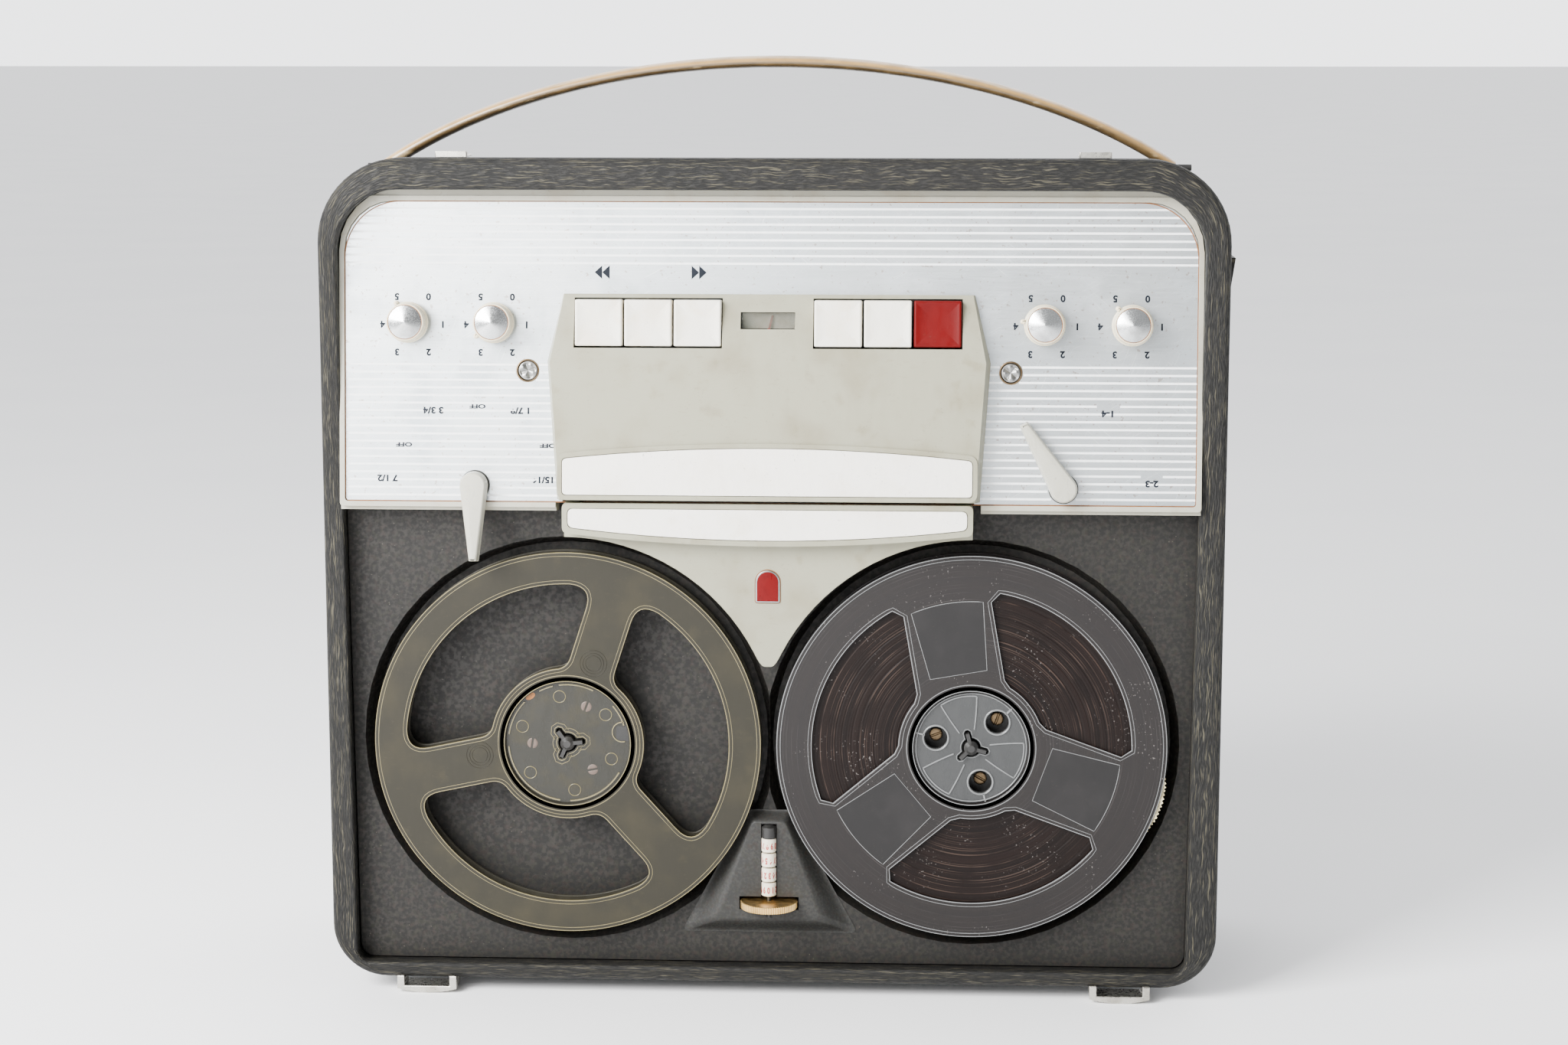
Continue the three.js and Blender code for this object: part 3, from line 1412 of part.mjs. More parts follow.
function make_drive(parent) {
  const x = mechanism_shift;
  const plate_back = head_plate_front + head_plate_thickness;
  const capstan_z = tape_line_z + capstan_radius + fit;
  const pinch_z = tape_line_z - pinch_radius;
  const post_back = chassis_front - fit;
  const pieces = [block(x - head_plate_half, x + head_plate_half, head_plate_front, plate_back,
    head_plate_low, head_plate_high)];
  for (const at_x of [-head_spread, 0]) {
    pieces.push(block(x + at_x - head_size / 2, x + at_x + head_size / 2, head_front, plate_back - fit,
      head_face_z, head_face_z + head_size));
  }
  for (const side of [-1, 1]) {
    pieces.push(disc(head_post_radius, plate_back - fit, post_back, x + side * head_post_x, head_post_z, 12));
    pieces.push(disc(guide_radius, head_front, plate_back - fit, x + side * guide_x,
      head_face_z + guide_radius, 12));
  }
  pieces.push(disc(pinch_axle, pinch_front, plate_back - fit, x + capstan_x, pinch_z, 12));
  const capstan_hole = disc(capstan_radius + running_fit, head_plate_front - overrun, plate_back + overrun,
    x + capstan_x, capstan_z, 16);
  add(parent, 'head_block', cut(join(...pieces), capstan_hole), steel);

  const roller = ring(pinch_bore, pinch_radius, pinch_front + fit, pinch_front + pinch_length,
    x + capstan_x, pinch_z, 24);
  add(parent, 'pinch_roller', roller, rubber);

  const flywheel = turned([
    [0, capstan_front],
    [capstan_radius, capstan_front],
    [capstan_radius, flywheel_front],
    [flywheel_radius, flywheel_front],
    [flywheel_radius, flywheel_front + flywheel_thickness],
    [capstan_radius, flywheel_front + flywheel_thickness],
    [capstan_radius, post_back],
    [0, post_back],
  ], x + capstan_x, capstan_z, 32);
  add(parent, 'capstan_flywheel', flywheel, steel);

  const motor_front = chassis_front + chassis_thickness + fit;
  const pulley_front = flywheel_front + (flywheel_thickness - pulley_thickness) / 2;
  const motor = turned([
    [0, pulley_front - fit],
    [motor_shaft, pulley_front - fit],
    [motor_shaft, motor_front],
    [motor_radius - pulley_flange, motor_front],
    [motor_radius, motor_front + pulley_flange],
    [motor_radius, motor_front + motor_length],
    [0, motor_front + motor_length],
  ], x + motor_x, motor_z, 24);
  add(parent, 'motor', motor, magnet_grey);
  const bore = motor_shaft + fit;
  const pulley = turned([
    [bore, pulley_front],
    [pulley_radius + pulley_flange, pulley_front],
    [pulley_radius, pulley_front + pulley_flange],
    [pulley_radius, pulley_front + pulley_thickness - pulley_flange],
    [pulley_radius + pulley_flange, pulley_front + pulley_thickness],
    [bore, pulley_front + pulley_thickness],
    [bore, pulley_front],
  ], x + motor_x, motor_z, 20);
  add(parent, 'motor_pulley', pulley, brass);

  const pulley_centre = new THREE.Vector2(x + motor_x, motor_z);
  const flywheel_centre = new THREE.Vector2(x + capstan_x, capstan_z);
  const wrap = (grow) => belt_path(flywheel_centre, flywheel_radius, pulley_centre, pulley_radius, grow);
  const belt_shape = new THREE.Shape(wrap(fit + belt_thickness));
  belt_shape.holes.push(new THREE.Path(wrap(fit)));
  const belt_front = pulley_front + (pulley_thickness - belt_width) / 2;
  add(parent, 'drive_belt', plate(belt_shape, belt_front, belt_front + belt_width), rubber);
}

function make_chassis(parent) {
  const corner = chassis_corner;
  const shape = new THREE.Shape(even(chassis_half, chassis_low, chassis_high, corner, corner, 4));
  const motor_hole = new THREE.Path();
  motor_hole.absarc(mechanism_shift + motor_x, motor_z, motor_shaft + fit, 0, 2 * Math.PI, true);
  const light_hole = even(chassis_window_half, chassis_window_low, chassis_window_high,
    chassis_corner, chassis_corner, 4);
  shape.holes.push(motor_hole, new THREE.Path(light_hole));
  const pieces = [plate(shape, chassis_front, chassis_front + chassis_thickness)];
  for (const side of [-1, 1]) {
    for (const z of [chassis_post_low, chassis_post_high]) {
      pieces.push(disc(chassis_post, deck_front + deck_thickness + fit, chassis_front + chassis_thickness / 2,
        side * chassis_post_x, z, 12));
    }
  }
  add(parent, 'chassis_frame', join(...pieces), steel);
}

const recorder = new THREE.Group();
make_case(recorder);
make_back(recorder);
make_fittings(recorder);
make_handle(recorder);
make_flap(recorder);
make_deck(recorder);
make_counter(recorder);
make_reels(recorder);
make_panel(recorder);
make_tongue(recorder);
make_drive(recorder);
make_chassis(recorder);

// The origin is the bottom centre of the box round the whole machine
recorder.updateMatrixWorld(true);
const reach = new THREE.Box3().setFromObject(recorder, true);
recorder.position.set(-(reach.min.x + reach.max.x) / 2, -(reach.min.y + reach.max.y) / 2, -reach.min.z);
recorder.updateMatrixWorld(true);

export default recorder;
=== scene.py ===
"""Looks of a portable reel-to-reel tape recorder that stands on its edge with its lid off.

Sizes are in millimetres, in the machine's own axes: x to the right, y into the machine from the front
of its rim, z up from the table. The function placed() turns them into metres in the frame.
"""
import json
import math
from contextlib import contextmanager

import bmesh
import bpy
import numpy as np
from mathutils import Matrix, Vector

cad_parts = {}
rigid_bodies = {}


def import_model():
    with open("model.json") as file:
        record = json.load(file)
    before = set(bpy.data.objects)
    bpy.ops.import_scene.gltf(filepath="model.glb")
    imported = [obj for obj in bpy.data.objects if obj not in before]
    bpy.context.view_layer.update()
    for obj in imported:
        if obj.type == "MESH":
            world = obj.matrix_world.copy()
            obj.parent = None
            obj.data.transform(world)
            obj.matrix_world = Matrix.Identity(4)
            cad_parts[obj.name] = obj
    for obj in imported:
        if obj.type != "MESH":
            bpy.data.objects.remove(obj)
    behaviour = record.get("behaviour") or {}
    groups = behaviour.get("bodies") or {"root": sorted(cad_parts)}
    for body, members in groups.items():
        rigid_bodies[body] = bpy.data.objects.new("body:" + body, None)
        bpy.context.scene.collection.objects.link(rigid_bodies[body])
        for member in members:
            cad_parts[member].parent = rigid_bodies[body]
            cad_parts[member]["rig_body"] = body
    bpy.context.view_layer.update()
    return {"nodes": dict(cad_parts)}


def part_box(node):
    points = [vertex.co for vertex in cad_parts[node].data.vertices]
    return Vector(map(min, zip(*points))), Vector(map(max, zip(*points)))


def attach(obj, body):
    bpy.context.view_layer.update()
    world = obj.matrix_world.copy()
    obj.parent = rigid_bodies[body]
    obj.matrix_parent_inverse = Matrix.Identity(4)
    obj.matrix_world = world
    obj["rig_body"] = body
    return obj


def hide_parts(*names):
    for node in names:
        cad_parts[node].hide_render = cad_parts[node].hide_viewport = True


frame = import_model()

MM = 0.001
case_low_corner, case_high_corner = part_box("case_shell")
ORIGIN = np.array([(case_low_corner[0] + case_high_corner[0]) / 2, case_low_corner[1], 0.0])

# Case
CASE_HALF = 204.0
CASE_LOW = 6.5
CASE_HIGH = 385.0
CASE_DEPTH = 150.0
CORNER_TOP = 38.0
CORNER_BOTTOM = 25.0
RIM_ROUND = 3.0
RIM_DEPTH = 12.0
RIM_STEP = 3.0
BACK_LIP = 1.0
CASE_DRAFT = 4.5
WALL_SIDE_TOP = 8.5
WALL_SIDE_BOTTOM = 11.8
WALL_TOP = 13.0
WALL_BOTTOM = 6.0
WALL_BODY = 5.5
POCKET_DEPTH = 36.0
RIM_TURN_IN = 1.1
INNER_CORNER_TOP = 29.0
INNER_CORNER_BOTTOM = 7.0
SHIFT = -1.4  # the pocket and all in it sit this far off the case's middle
SOCKET_LOW = (40.0, 303.5)
SOCKET_HIGH = (110.0, 334.0)

# Handle
HANDLE_APEX = 430.0
HANDLE_REACH = 182.0
HANDLE_ELLIPSE_X = 240.0
HANDLE_ELLIPSE_Z = 137.0
HANDLE_THICKNESS = 5.7
HANDLE_WIDTH = 25.0
HANDLE_END_WIDTH = 14.0
HANDLE_HOLLOW = 0.1
HANDLE_Y = 50.0
HANDLE_AXIS_Z = 379.5
HANDLE_EYE = 3.3
HANDLE_EYE_LENGTH = 6.0
CUP_INNER = 166.5
CUP_OUTER = 190.0
CUP_WIDTH = 30.0
CUP_FLOOR = 371.0

# Panel: u to the right, v up its face, h out of it
TILT = math.radians(5.7)
PANEL_FOOT = np.array([SHIFT, -2.0, 229.5])
PLATE_HALF = 191.7
PLATE_LOW = 1.2
PLATE_HIGH = 136.7
PLATE_CORNER = 25.8
LINE_HALF = 0.48
LINE_HEIGHT = 0.05
KNOB_INNER = 123.3
KNOB_OUTER = 162.2
KNOB_V = 82.0
KNOB_LIFT = 4.0
CAP_RADIUS = 7.4
LEVER_U = 132.5
LEVER_V = 8.9
SCREW_U = 108.6
SCREW_V = 60.6
SCREW_RADIUS = 4.1
SCREW_FOOT = -1.4
BAY_INNER = 20.3
BAY_OUTER = 86.9
BAY_LOW = 71.0
BAY_HIGH = 93.4
KEY_GAP = 0.6

# Reels
SPINDLE_HALF = 92.5
SPINDLE_Z = 118.0
REEL_RADIUS = 89.0
REEL_FRONT = 3.0
FLANGE = 1.5
WINDING_GAP = 7.7
HUB_WALL = 3.0
HUB_WEB = 2.4
HUB_WEB_SET = 2.0
LEFT_SLOTS = 6
RIGHT_SLOTS = 105
RIGHT_SPOKES = 100
HOLE_CIRCLE = 16.7
TAPE_FRONT = 5.2
TAPE_WIDTH = 6.25
TAPE_BACK = TAPE_FRONT + TAPE_WIDTH
CORE_RADIUS = 29.3
PACK_RADIUS = 77.2

# Tongue
TONGUE_Y = -2.0
BADGE_Z = 193.0

# Counter
DECK_FRONT = 12.0
COUNTER_Y = 5.5
COUNTER_FOOT_LOW = 27.5
COUNTER_FOOT_HIGH = 86.0
COUNTER_FACE_LOW = 36.0
COUNTER_FACE_HIGH = 81.0
DRUM_BORE = 1.3
DRUM_RADIUS = 3.35
DRUM_HEIGHT = 6.2
DRUM_EDGE = 0.3
DRUM_PITCH = 6.95
DRUM_LOW = 47.0
WHEEL_RADIUS = 13.2
WHEEL_LOW = 41.2
WHEEL_THICKNESS = 3.4
WHEEL_RIDGES = 75

# Stage and camera
FLOOR_REACH = 60000.0
LIGHTS = (("key_light", (-1000.0, -1000.0, 1000.0), 112.0, 900.0),
          ("soft_box", (-560.0, -1450.0, 640.0), 16.0, 750.0))
LIGHT_AIM = (0.0, 0.0, 220.0)
CAMERA_SPOT = (76.7, -1352.0, 435.0)
CAMERA_LENS = 69.785
CAMERA_DOWN_DEG = 8.94
CAMERA_LEFT_DEG = 3.0


# Places

def placed(points):
    """Machine millimetres to frame metres: a shift and a scale, nothing turned."""
    return np.asarray(points, float) * MM + ORIGIN


def on_panel(points):
    """(u, v, h) to machine millimetres: a turn by the panel's tilt and a shift."""
    u, v, h = np.moveaxis(np.asarray(points, float), -1, 0)
    sin, cos = math.sin(TILT), math.cos(TILT)
    return np.stack([u, v * sin - h * cos, v * cos + h * sin], -1) + PANEL_FOOT


def panel_spot(u, v, h=0.0):
    """Places for a piece drawn about its own middle, at a spot on the panel."""
    return lambda points: on_panel(points + np.array([u, v, h]))


def on_front(points):
    """(x right, z up, y into the machine) to machine millimetres: the last two swap places."""
    return np.asarray(points, float)[..., [0, 2, 1]]


def at_spindle(side):
    """Places for a reel: (right of the spindle, up from it, y into the machine)."""
    centre = np.array([SHIFT + side * SPINDLE_HALF, SPINDLE_Z, 0.0])
    return lambda points: on_front(np.asarray(points, float) + centre)


def on_tongue(points):
    """(right of the badge's middle, up from it, out of the tongue) to machine millimetres."""
    return on_front(points) * [1.0, -1.0, 1.0] + [SHIFT, TONGUE_Y, BADGE_Z]


def standing(points):
    """(right of the counter's axis, in front to back, z up) to machine millimetres."""
    return np.asarray(points, float) + np.array([SHIFT, COUNTER_Y, 0.0])


# Shapes worked out as whole arrays

def unit(angles):
    """Points of the unit circle at these angles: cosine and sine."""
    return np.stack([np.cos(angles), np.sin(angles)], -1)


def full_turn(steps):
    """The angles of a full turn in even steps."""
    return np.linspace(0, 2 * math.pi, steps, endpoint=False)


def circle(radius, steps=96, centre=(0.0, 0.0)):
    """A full circle of points."""
    return radius * unit(full_turn(steps)) + np.asarray(centre)


def rotated(flat, turn):
    """Flat points turned about zero: (x cos - y sin, x sin + y cos)."""
    cos, sin = math.cos(turn), math.sin(turn)
    return flat @ np.array([[cos, sin], [-sin, cos]])


def at(flat, height):
    """Flat points with a height, or with heights, as their third number."""
    return np.concatenate([flat, np.broadcast_to(height, (*flat.shape[:-1], 1))], -1)


def stack(levels, axis=0):
    """Grid of points from pairs of a flat outline and its height."""
    return np.stack([at(flat, height) for flat, height in levels], axis)


def soft_outline(corners, radii, steps=8):
    """Closed outline of straight sides with round corners. Each corner's arc touches both sides: its centre
    lies on the bisector, radius / sin(half angle) from the corner."""
    corners = np.asarray(corners, float)
    radii = np.broadcast_to(np.asarray(radii, float), len(corners))[:, None]
    back = np.roll(corners, 1, 0) - corners
    ahead = np.roll(corners, -1, 0) - corners
    back /= np.linalg.norm(back, axis=1, keepdims=True)
    ahead /= np.linalg.norm(ahead, axis=1, keepdims=True)
    half = np.arccos(np.clip((back * ahead).sum(1, keepdims=True), -1, 1)) / 2
    middle = back + ahead
    middle /= np.linalg.norm(middle, axis=1, keepdims=True)
    centre = corners + middle * radii / np.sin(half)
    first = corners + back * radii / np.tan(half) - centre
    last = corners + ahead * radii / np.tan(half) - centre
    start = np.arctan2(first[:, 1], first[:, 0])
    sweep = (np.arctan2(last[:, 1], last[:, 0]) - start + math.pi) % (2 * math.pi) - math.pi
    angles = start[:, None] + sweep[:, None] * np.linspace(0, 1, steps)
    return (centre[:, None] + radii[:, None] * unit(angles)).reshape(-1, 2)


def box_outline(half_low, half_high, low, high, round_low, round_high, steps=10):
    """Outline of a box, or of a trapezium, with round corners, centred on zero."""
    corners = [(half_low, low), (half_high, high), (-half_high, high), (-half_low, low)]
    return soft_outline(corners, [round_low, round_high, round_high, round_low], steps)


def shrunk(outline, amount):
    """A closed outline moved inwards: each point steps across the line between its two neighbours."""
    along = np.roll(outline, -1, 0) - np.roll(outline, 1, 0)
    along /= np.maximum(np.linalg.norm(along, axis=1, keepdims=True), 1e-9)
    x, y = outline.T
    area = np.sum(x * np.roll(y, -1) - np.roll(x, -1) * y)
    across = np.stack([-along[:, 1], along[:, 0]], -1) * np.sign(area)
    return outline + across * amount


def quarter(steps):
    """Sine and one minus cosine over a quarter turn: how far a rounded edge has gone along and in."""
    angles = np.linspace(0, math.pi / 2, steps)
    return np.sin(angles), 1 - np.cos(angles)


def skin(points, round_rows=False, caps=False):
    """Faces over a grid of points (rows, columns, 3) whose columns run round, and whose rows do so or end in
    flat caps if asked. Each face corner's uv is its share of the way along columns and down rows."""
    rows, columns = points.shape[:2]
    i, j = np.meshgrid(np.arange(rows if round_rows else rows - 1), np.arange(columns), indexing="ij")
    down, right = (i + 1) % rows, (j + 1) % columns
    faces = np.stack([i * columns + j, down * columns + j, down * columns + right, i * columns + right], -1)
    uv = np.stack([np.stack([j, j, j + 1, j + 1], -1) / columns,
                   np.stack([i, i + 1, i + 1, i], -1) / rows], -1)
    faces = faces.reshape(-1, 4).tolist()
    uv = uv.reshape(-1, 2)
    if caps:
        ends = [np.arange(columns), (rows - 1) * columns + np.arange(columns)]
        faces += [end.tolist() for end in ends]
        uv = np.concatenate([uv, np.zeros((2 * columns, 2))])
    return points.reshape(-1, 3), faces, uv


def moved(part, place):
    """A skin with its points taken through a function that places them."""
    return place(part[0]), part[1], part[2]


def lifted(part, height):
    """A flat skin moved along the third axis."""
    return moved(part, lambda points: points + [0.0, 0.0, height])


def joined(parts):
    """Several skins as one."""
    starts = np.cumsum([0] + [len(part[0]) for part in parts])
    faces = [[index + start for index in face] for part, start in zip(parts, starts) for face in part[1]]
    return np.concatenate([part[0] for part in parts]), faces, np.concatenate([part[2] for part in parts])


def levelled(outline, levels):
    """Solid whose sections are one outline, moved in by each level's inset at each level's height:
    levels is an array of (height, inset)."""
    return skin(stack([(shrunk(outline, inset), height) for height, inset in levels]), caps=True)


def rounded_levels(foot, top, edge, steps=5):
    """Heights and insets of a flat solid whose top edge is a quarter round."""
    along, inward = quarter(steps)
    return np.concatenate([[[foot, 0.0]], np.column_stack([top - edge + edge * along, edge * inward])])


def turned(profile, steps=64, closed=False):
    """Solid of revolution about the third axis from a profile of (radius, height) that starts and ends on
    it, or a ring from a closed profile."""
    profile = np.asarray(profile, float)[:, None]
    return skin(at(profile[..., :1] * circle(1.0, steps), profile[..., 1:]), closed)


def ringed(profile, steps=96):
    """Ring of revolution about the third axis from a closed profile of (radius, height)."""
    return turned(profile, steps, True)


def boxes(low, high):
    """Plain boxes from arrays of lowest and highest corners, all at once."""
    low, high = np.atleast_2d(low).astype(float), np.atleast_2d(high).astype(float)
    picks = np.array([[i, j, k] for i in (0, 1) for j in (0, 1) for k in (0, 1)])
    points = np.where(picks[None] == 0, low[:, None], high[:, None]).reshape(-1, 3)
    sides = np.array([[0, 1, 3, 2], [4, 6, 7, 5], [0, 4, 5, 1], [2, 3, 7, 6], [0, 2, 6, 4], [1, 5, 7, 3]])
    faces = (np.arange(len(low))[:, None, None] * 8 + sides).reshape(-1, 4)
    return points, faces.tolist(), np.zeros((faces.size, 2))


def collar(radius, wall, front, back, centre=(0.0, 0.0), steps=48):
    """A low round-edged ring standing on a face."""
    edge = wall * 0.35
    far = radius + wall
    part = ringed([[radius, back], [radius, front + edge], [radius + edge, front], [far - edge, front],
                   [far, front + edge], [far, back]], steps)
    return moved(part, lambda points: points + [*centre, 0.0])


def rib(points, half, front, back):
    """A thin raised rib along a flat path of points, drawn to both sides of it."""
    points = np.asarray(points, float)
    ahead = np.gradient(points, axis=0)
    ahead /= np.linalg.norm(ahead, axis=1, keepdims=True)
    across = np.stack([-ahead[:, 1], ahead[:, 0]], -1)
    sides = ((-1, back), (-0.7, front), (0.7, front), (1, back))
    return skin(stack([(points + across * s * half, y) for s, y in sides], 1), caps=True)


def round_line(outline, half, front, back):
    """A thin raised rib along a closed outline."""
    sides = ((1, back), (0.6, front), (-0.6, front), (-1, back))
    return skin(stack([(shrunk(outline, half * s), y) for s, y in sides]), True)


# Blender objects

def evaluated(thing):
    """A new mesh of an object as its modifiers or its curve make it."""
    return bpy.data.meshes.new_from_object(thing.evaluated_get(bpy.context.evaluated_depsgraph_get()))


def from_object(holder):
    """The skin of a Blender curve or text, in the units it was drawn in."""
    bpy.context.scene.collection.objects.link(holder)
    mesh = evaluated(holder)
    points = np.empty(len(mesh.vertices) * 3)
    mesh.vertices.foreach_get("co", points)
    faces = [list(face.vertices) for face in mesh.polygons]
    bpy.data.objects.remove(holder)
    return points.reshape(-1, 3), faces, np.zeros((sum(map(len, faces)), 2))


def stencilled(outer, holes, thickness, edge):
    """Flat sheet with holes, its edges rounded on both faces, centred on height zero."""
    curve = bpy.data.curves.new("stencil", "CURVE")
    curve.dimensions = "2D"
    curve.fill_mode = "BOTH"
    curve.extrude = thickness / 2 - edge
    curve.bevel_depth = edge
    curve.bevel_resolution = 2
    curve.offset = -edge
    for outline in [outer, *holes]:
        spline = curve.splines.new("POLY")
        spline.points.add(len(outline) - 1)
        spline.points.foreach_set("co", np.pad(outline, ((0, 0), (0, 2))).ravel())
        spline.use_cyclic_u = True
    return from_object(bpy.data.objects.new("stencil", curve))


def letters(words, size, u, v, spread=1.0, lift=0.03):
    """Plain printed numbers or marks on the panel, centred on (u, v) and turned upside down."""
    font = bpy.data.curves.new("letters", "FONT")
    font.body = words
    font.size = size
    font.align_x = "CENTER"
    font.align_y = "CENTER"
    font.extrude = lift
    font.offset = 0.045 * size
    points, faces, uv = from_object(bpy.data.objects.new("letters", font))
    flat = rotated(points[:, :2] * [spread, 1.0], math.pi) + [u, v]
    return at(flat, points[:, 2:] + lift), faces, uv


@contextmanager
def edited(mesh):
    """A mesh opened for edits that are written back at the end."""
    work = bmesh.new()
    work.from_mesh(mesh)
    yield work
    work.to_mesh(mesh)
    work.free()


def made(name, part, material, body, place=None, replaces=(), sharp=40.0, weighted=False):
    """One finished piece: a skin, or a list of them, in millimetres becomes a mesh that rides on a body."""
    points, faces, uv = joined(part) if isinstance(part, list) else part
    mesh = bpy.data.meshes.new(name)
    mesh.from_pydata(placed(place(points) if place else points).tolist(), [], faces)
    mesh.uv_layers.new(name="UVMap").data.foreach_set("uv", np.asarray(uv, float).ravel())
    with edited(mesh) as work:
        bmesh.ops.remove_doubles(work, verts=work.verts, dist=2e-7)
        bmesh.ops.delete(work, geom=[v for v in work.verts if not v.link_faces], context="VERTS")
        bmesh.ops.recalc_face_normals(work, faces=work.faces)
    return finished(name, mesh, material, body, replaces, sharp, weighted)


def finished(name, mesh, material, body, replaces=(), sharp=40.0, weighted=False):
    """Puts a mesh in the scene with smooth faces, sharp edges past an angle, a material and a body."""
    mesh.polygons.foreach_set("use_smooth", np.ones(len(mesh.polygons), bool))
    mesh.set_sharp_from_angle(angle=math.radians(sharp))
    mesh.materials.clear()
    mesh.materials.append(material)
    thing = bpy.data.objects.new(name, mesh)
    bpy.context.scene.collection.objects.link(thing)
    if weighted:
        thing.modifiers.new("even_normals", "WEIGHTED_NORMAL").keep_sharp = True
    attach(thing, body)
    if replaces:
        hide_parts(*replaces)
    return thing


def dressed(node, material, bevel, segments=3):
    """A copy of a CAD node's own mesh, merged, its flat faces made whole and its edges rounded by a bevel."""
    corner_deg = 28.0
    source = frame["nodes"][node]
    mesh = source.data.copy()
    mesh.name = node + "_finished"
    with edited(mesh) as work:
        bmesh.ops.remove_doubles(work, verts=work.verts, dist=2e-6)
        bmesh.ops.dissolve_limit(work, angle_limit=math.radians(0.4), verts=work.verts, edges=work.edges)
        bmesh.ops.triangulate(work, faces=work.faces)
    if "custom_normal" in mesh.attributes:
        mesh.attributes.remove(mesh.attributes["custom_normal"])
    thing = finished(mesh.name, mesh, material, source["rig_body"], (node,), corner_deg)
    if bevel:
        edge = thing.modifiers.new("rounded_edges", "BEVEL")
        edge.width = bevel * MM
        edge.segments = segments
        edge.limit_method = "ANGLE"
        edge.angle_limit = math.radians(corner_deg)
        edge.use_clamp_overlap = True
    thing.modifiers.new("even_normals", "WEIGHTED_NORMAL").keep_sharp = True


def cut_out(thing, cutter):
    """Takes a closed skin out of a piece and keeps the result as its mesh."""
    mesh = bpy.data.meshes.new("cutter")
    mesh.from_pydata(placed(cutter[0]).tolist(), [], cutter[1])
    with edited(mesh) as work:
        bmesh.ops.recalc_face_normals(work, faces=work.faces)
    holder = bpy.data.objects.new("cutter", mesh)
    bpy.context.scene.collection.objects.link(holder)
    hollow = thing.modifiers.new("cut", "BOOLEAN")
    hollow.object = holder
    hollow.operation = "DIFFERENCE"
    hollow.solver = "EXACT"
    whole = evaluated(thing)
    thing.modifiers.clear()
    thing.data = whole
    whole.set_sharp_from_angle(angle=math.radians(50))
    bpy.data.objects.remove(holder)


# Materials

def hex_colour(code):
    """An sRGB hex colour as linear light with full cover."""
    value = np.array([int(code[i:i + 2], 16) for i in (1, 3, 5)]) / 255
    linear = np.where(value <= 0.04045, value / 12.92, ((value + 0.055) / 1.055) ** 2.4)
    return (*linear.tolist(), 1.0)


def put(tree, kind, sockets=None, **settings):
    """Adds one node, with its settings, and with its sockets set to values or linked to other nodes."""
    node = tree.nodes.new(kind)
    for key, value in settings.items():
        setattr(node, key, value)
    for key, value in (sockets or {}).items():
        if isinstance(value, bpy.types.Node):
            value = value.outputs[0]
        if isinstance(value, bpy.types.NodeSocket):
            tree.links.new(value, node.inputs[key])
        else:
            node.inputs[key].default_value = value
    return node


def begun(name):
    """A new material, its tree and the place on the object."""
    material = bpy.data.materials.new(name)
    material.use_nodes = True
    tree = material.node_tree
    tree.nodes.clear()
    return material, tree, put(tree, "ShaderNodeTexCoord").outputs["Object"]


def ended(tree, sockets):
    """The shader at the end of a tree."""
    put(tree, "ShaderNodeOutputMaterial", {"Surface": put(tree, "ShaderNodeBsdfPrincipled", sockets)})


def patches(tree, place, size, low=0.4, high=0.6, detail=3.0, stretch=(1.0, 1.0, 1.0), seed=0.0):
    """Soft-edged blotches of a real size in millimetres, from 0 to 1 between two levels of a noise."""
    spot = put(tree, "ShaderNodeMapping", {"Vector": place, "Scale": stretch, "Location": (seed, seed, seed)})
    noise = put(tree, "ShaderNodeTexNoise", {"Vector": spot, "Scale": 1 / (size * MM), "Detail": detail})
    return put(tree, "ShaderNodeMapRange", {"Value": noise, "From Min": low, "From Max": high},
               interpolation_type="SMOOTHSTEP").outputs[0]


def tinted(tree, factor, first, second):
    """One colour turning into another by a factor; each is a hex code or a colour that a node gives."""
    first, second = (hex_colour(c) if isinstance(c, str) else c for c in (first, second))
    return put(tree, "ShaderNodeMix", {0: factor, 6: first, 7: second}, data_type="RGBA").outputs[2]


def scaled(tree, factor, low, high):
    """A factor from 0 to 1 spread between two values."""
    return put(tree, "ShaderNodeMapRange", {"Value": factor, "To Min": low, "To Max": high}).outputs[0]


def layered(tree, colour, *coats):
    """Colours laid over one another: each coat is a factor, its strength where the factor is 1, a colour."""
    for factor, strength, coat in coats:
        colour = tinted(tree, scaled(tree, factor, 0.0, strength), colour, coat)
    return colour


def combined(tree, how, first, second):
    """Two values added or multiplied, or the larger of the two."""
    return put(tree, "ShaderNodeMath", {0: first, 1: second}, operation=how).outputs[0]


def bumped(tree, height, depth, strength=1.0, under=None):
    """A surface normal bumped by a height from 0 to 1 whose full depth is in millimetres."""
    sockets = {"Height": height, "Distance": depth * MM, "Strength": strength}
    if under is not None:
        sockets["Normal"] = under
    return put(tree, "ShaderNodeBump", sockets).outputs[0]


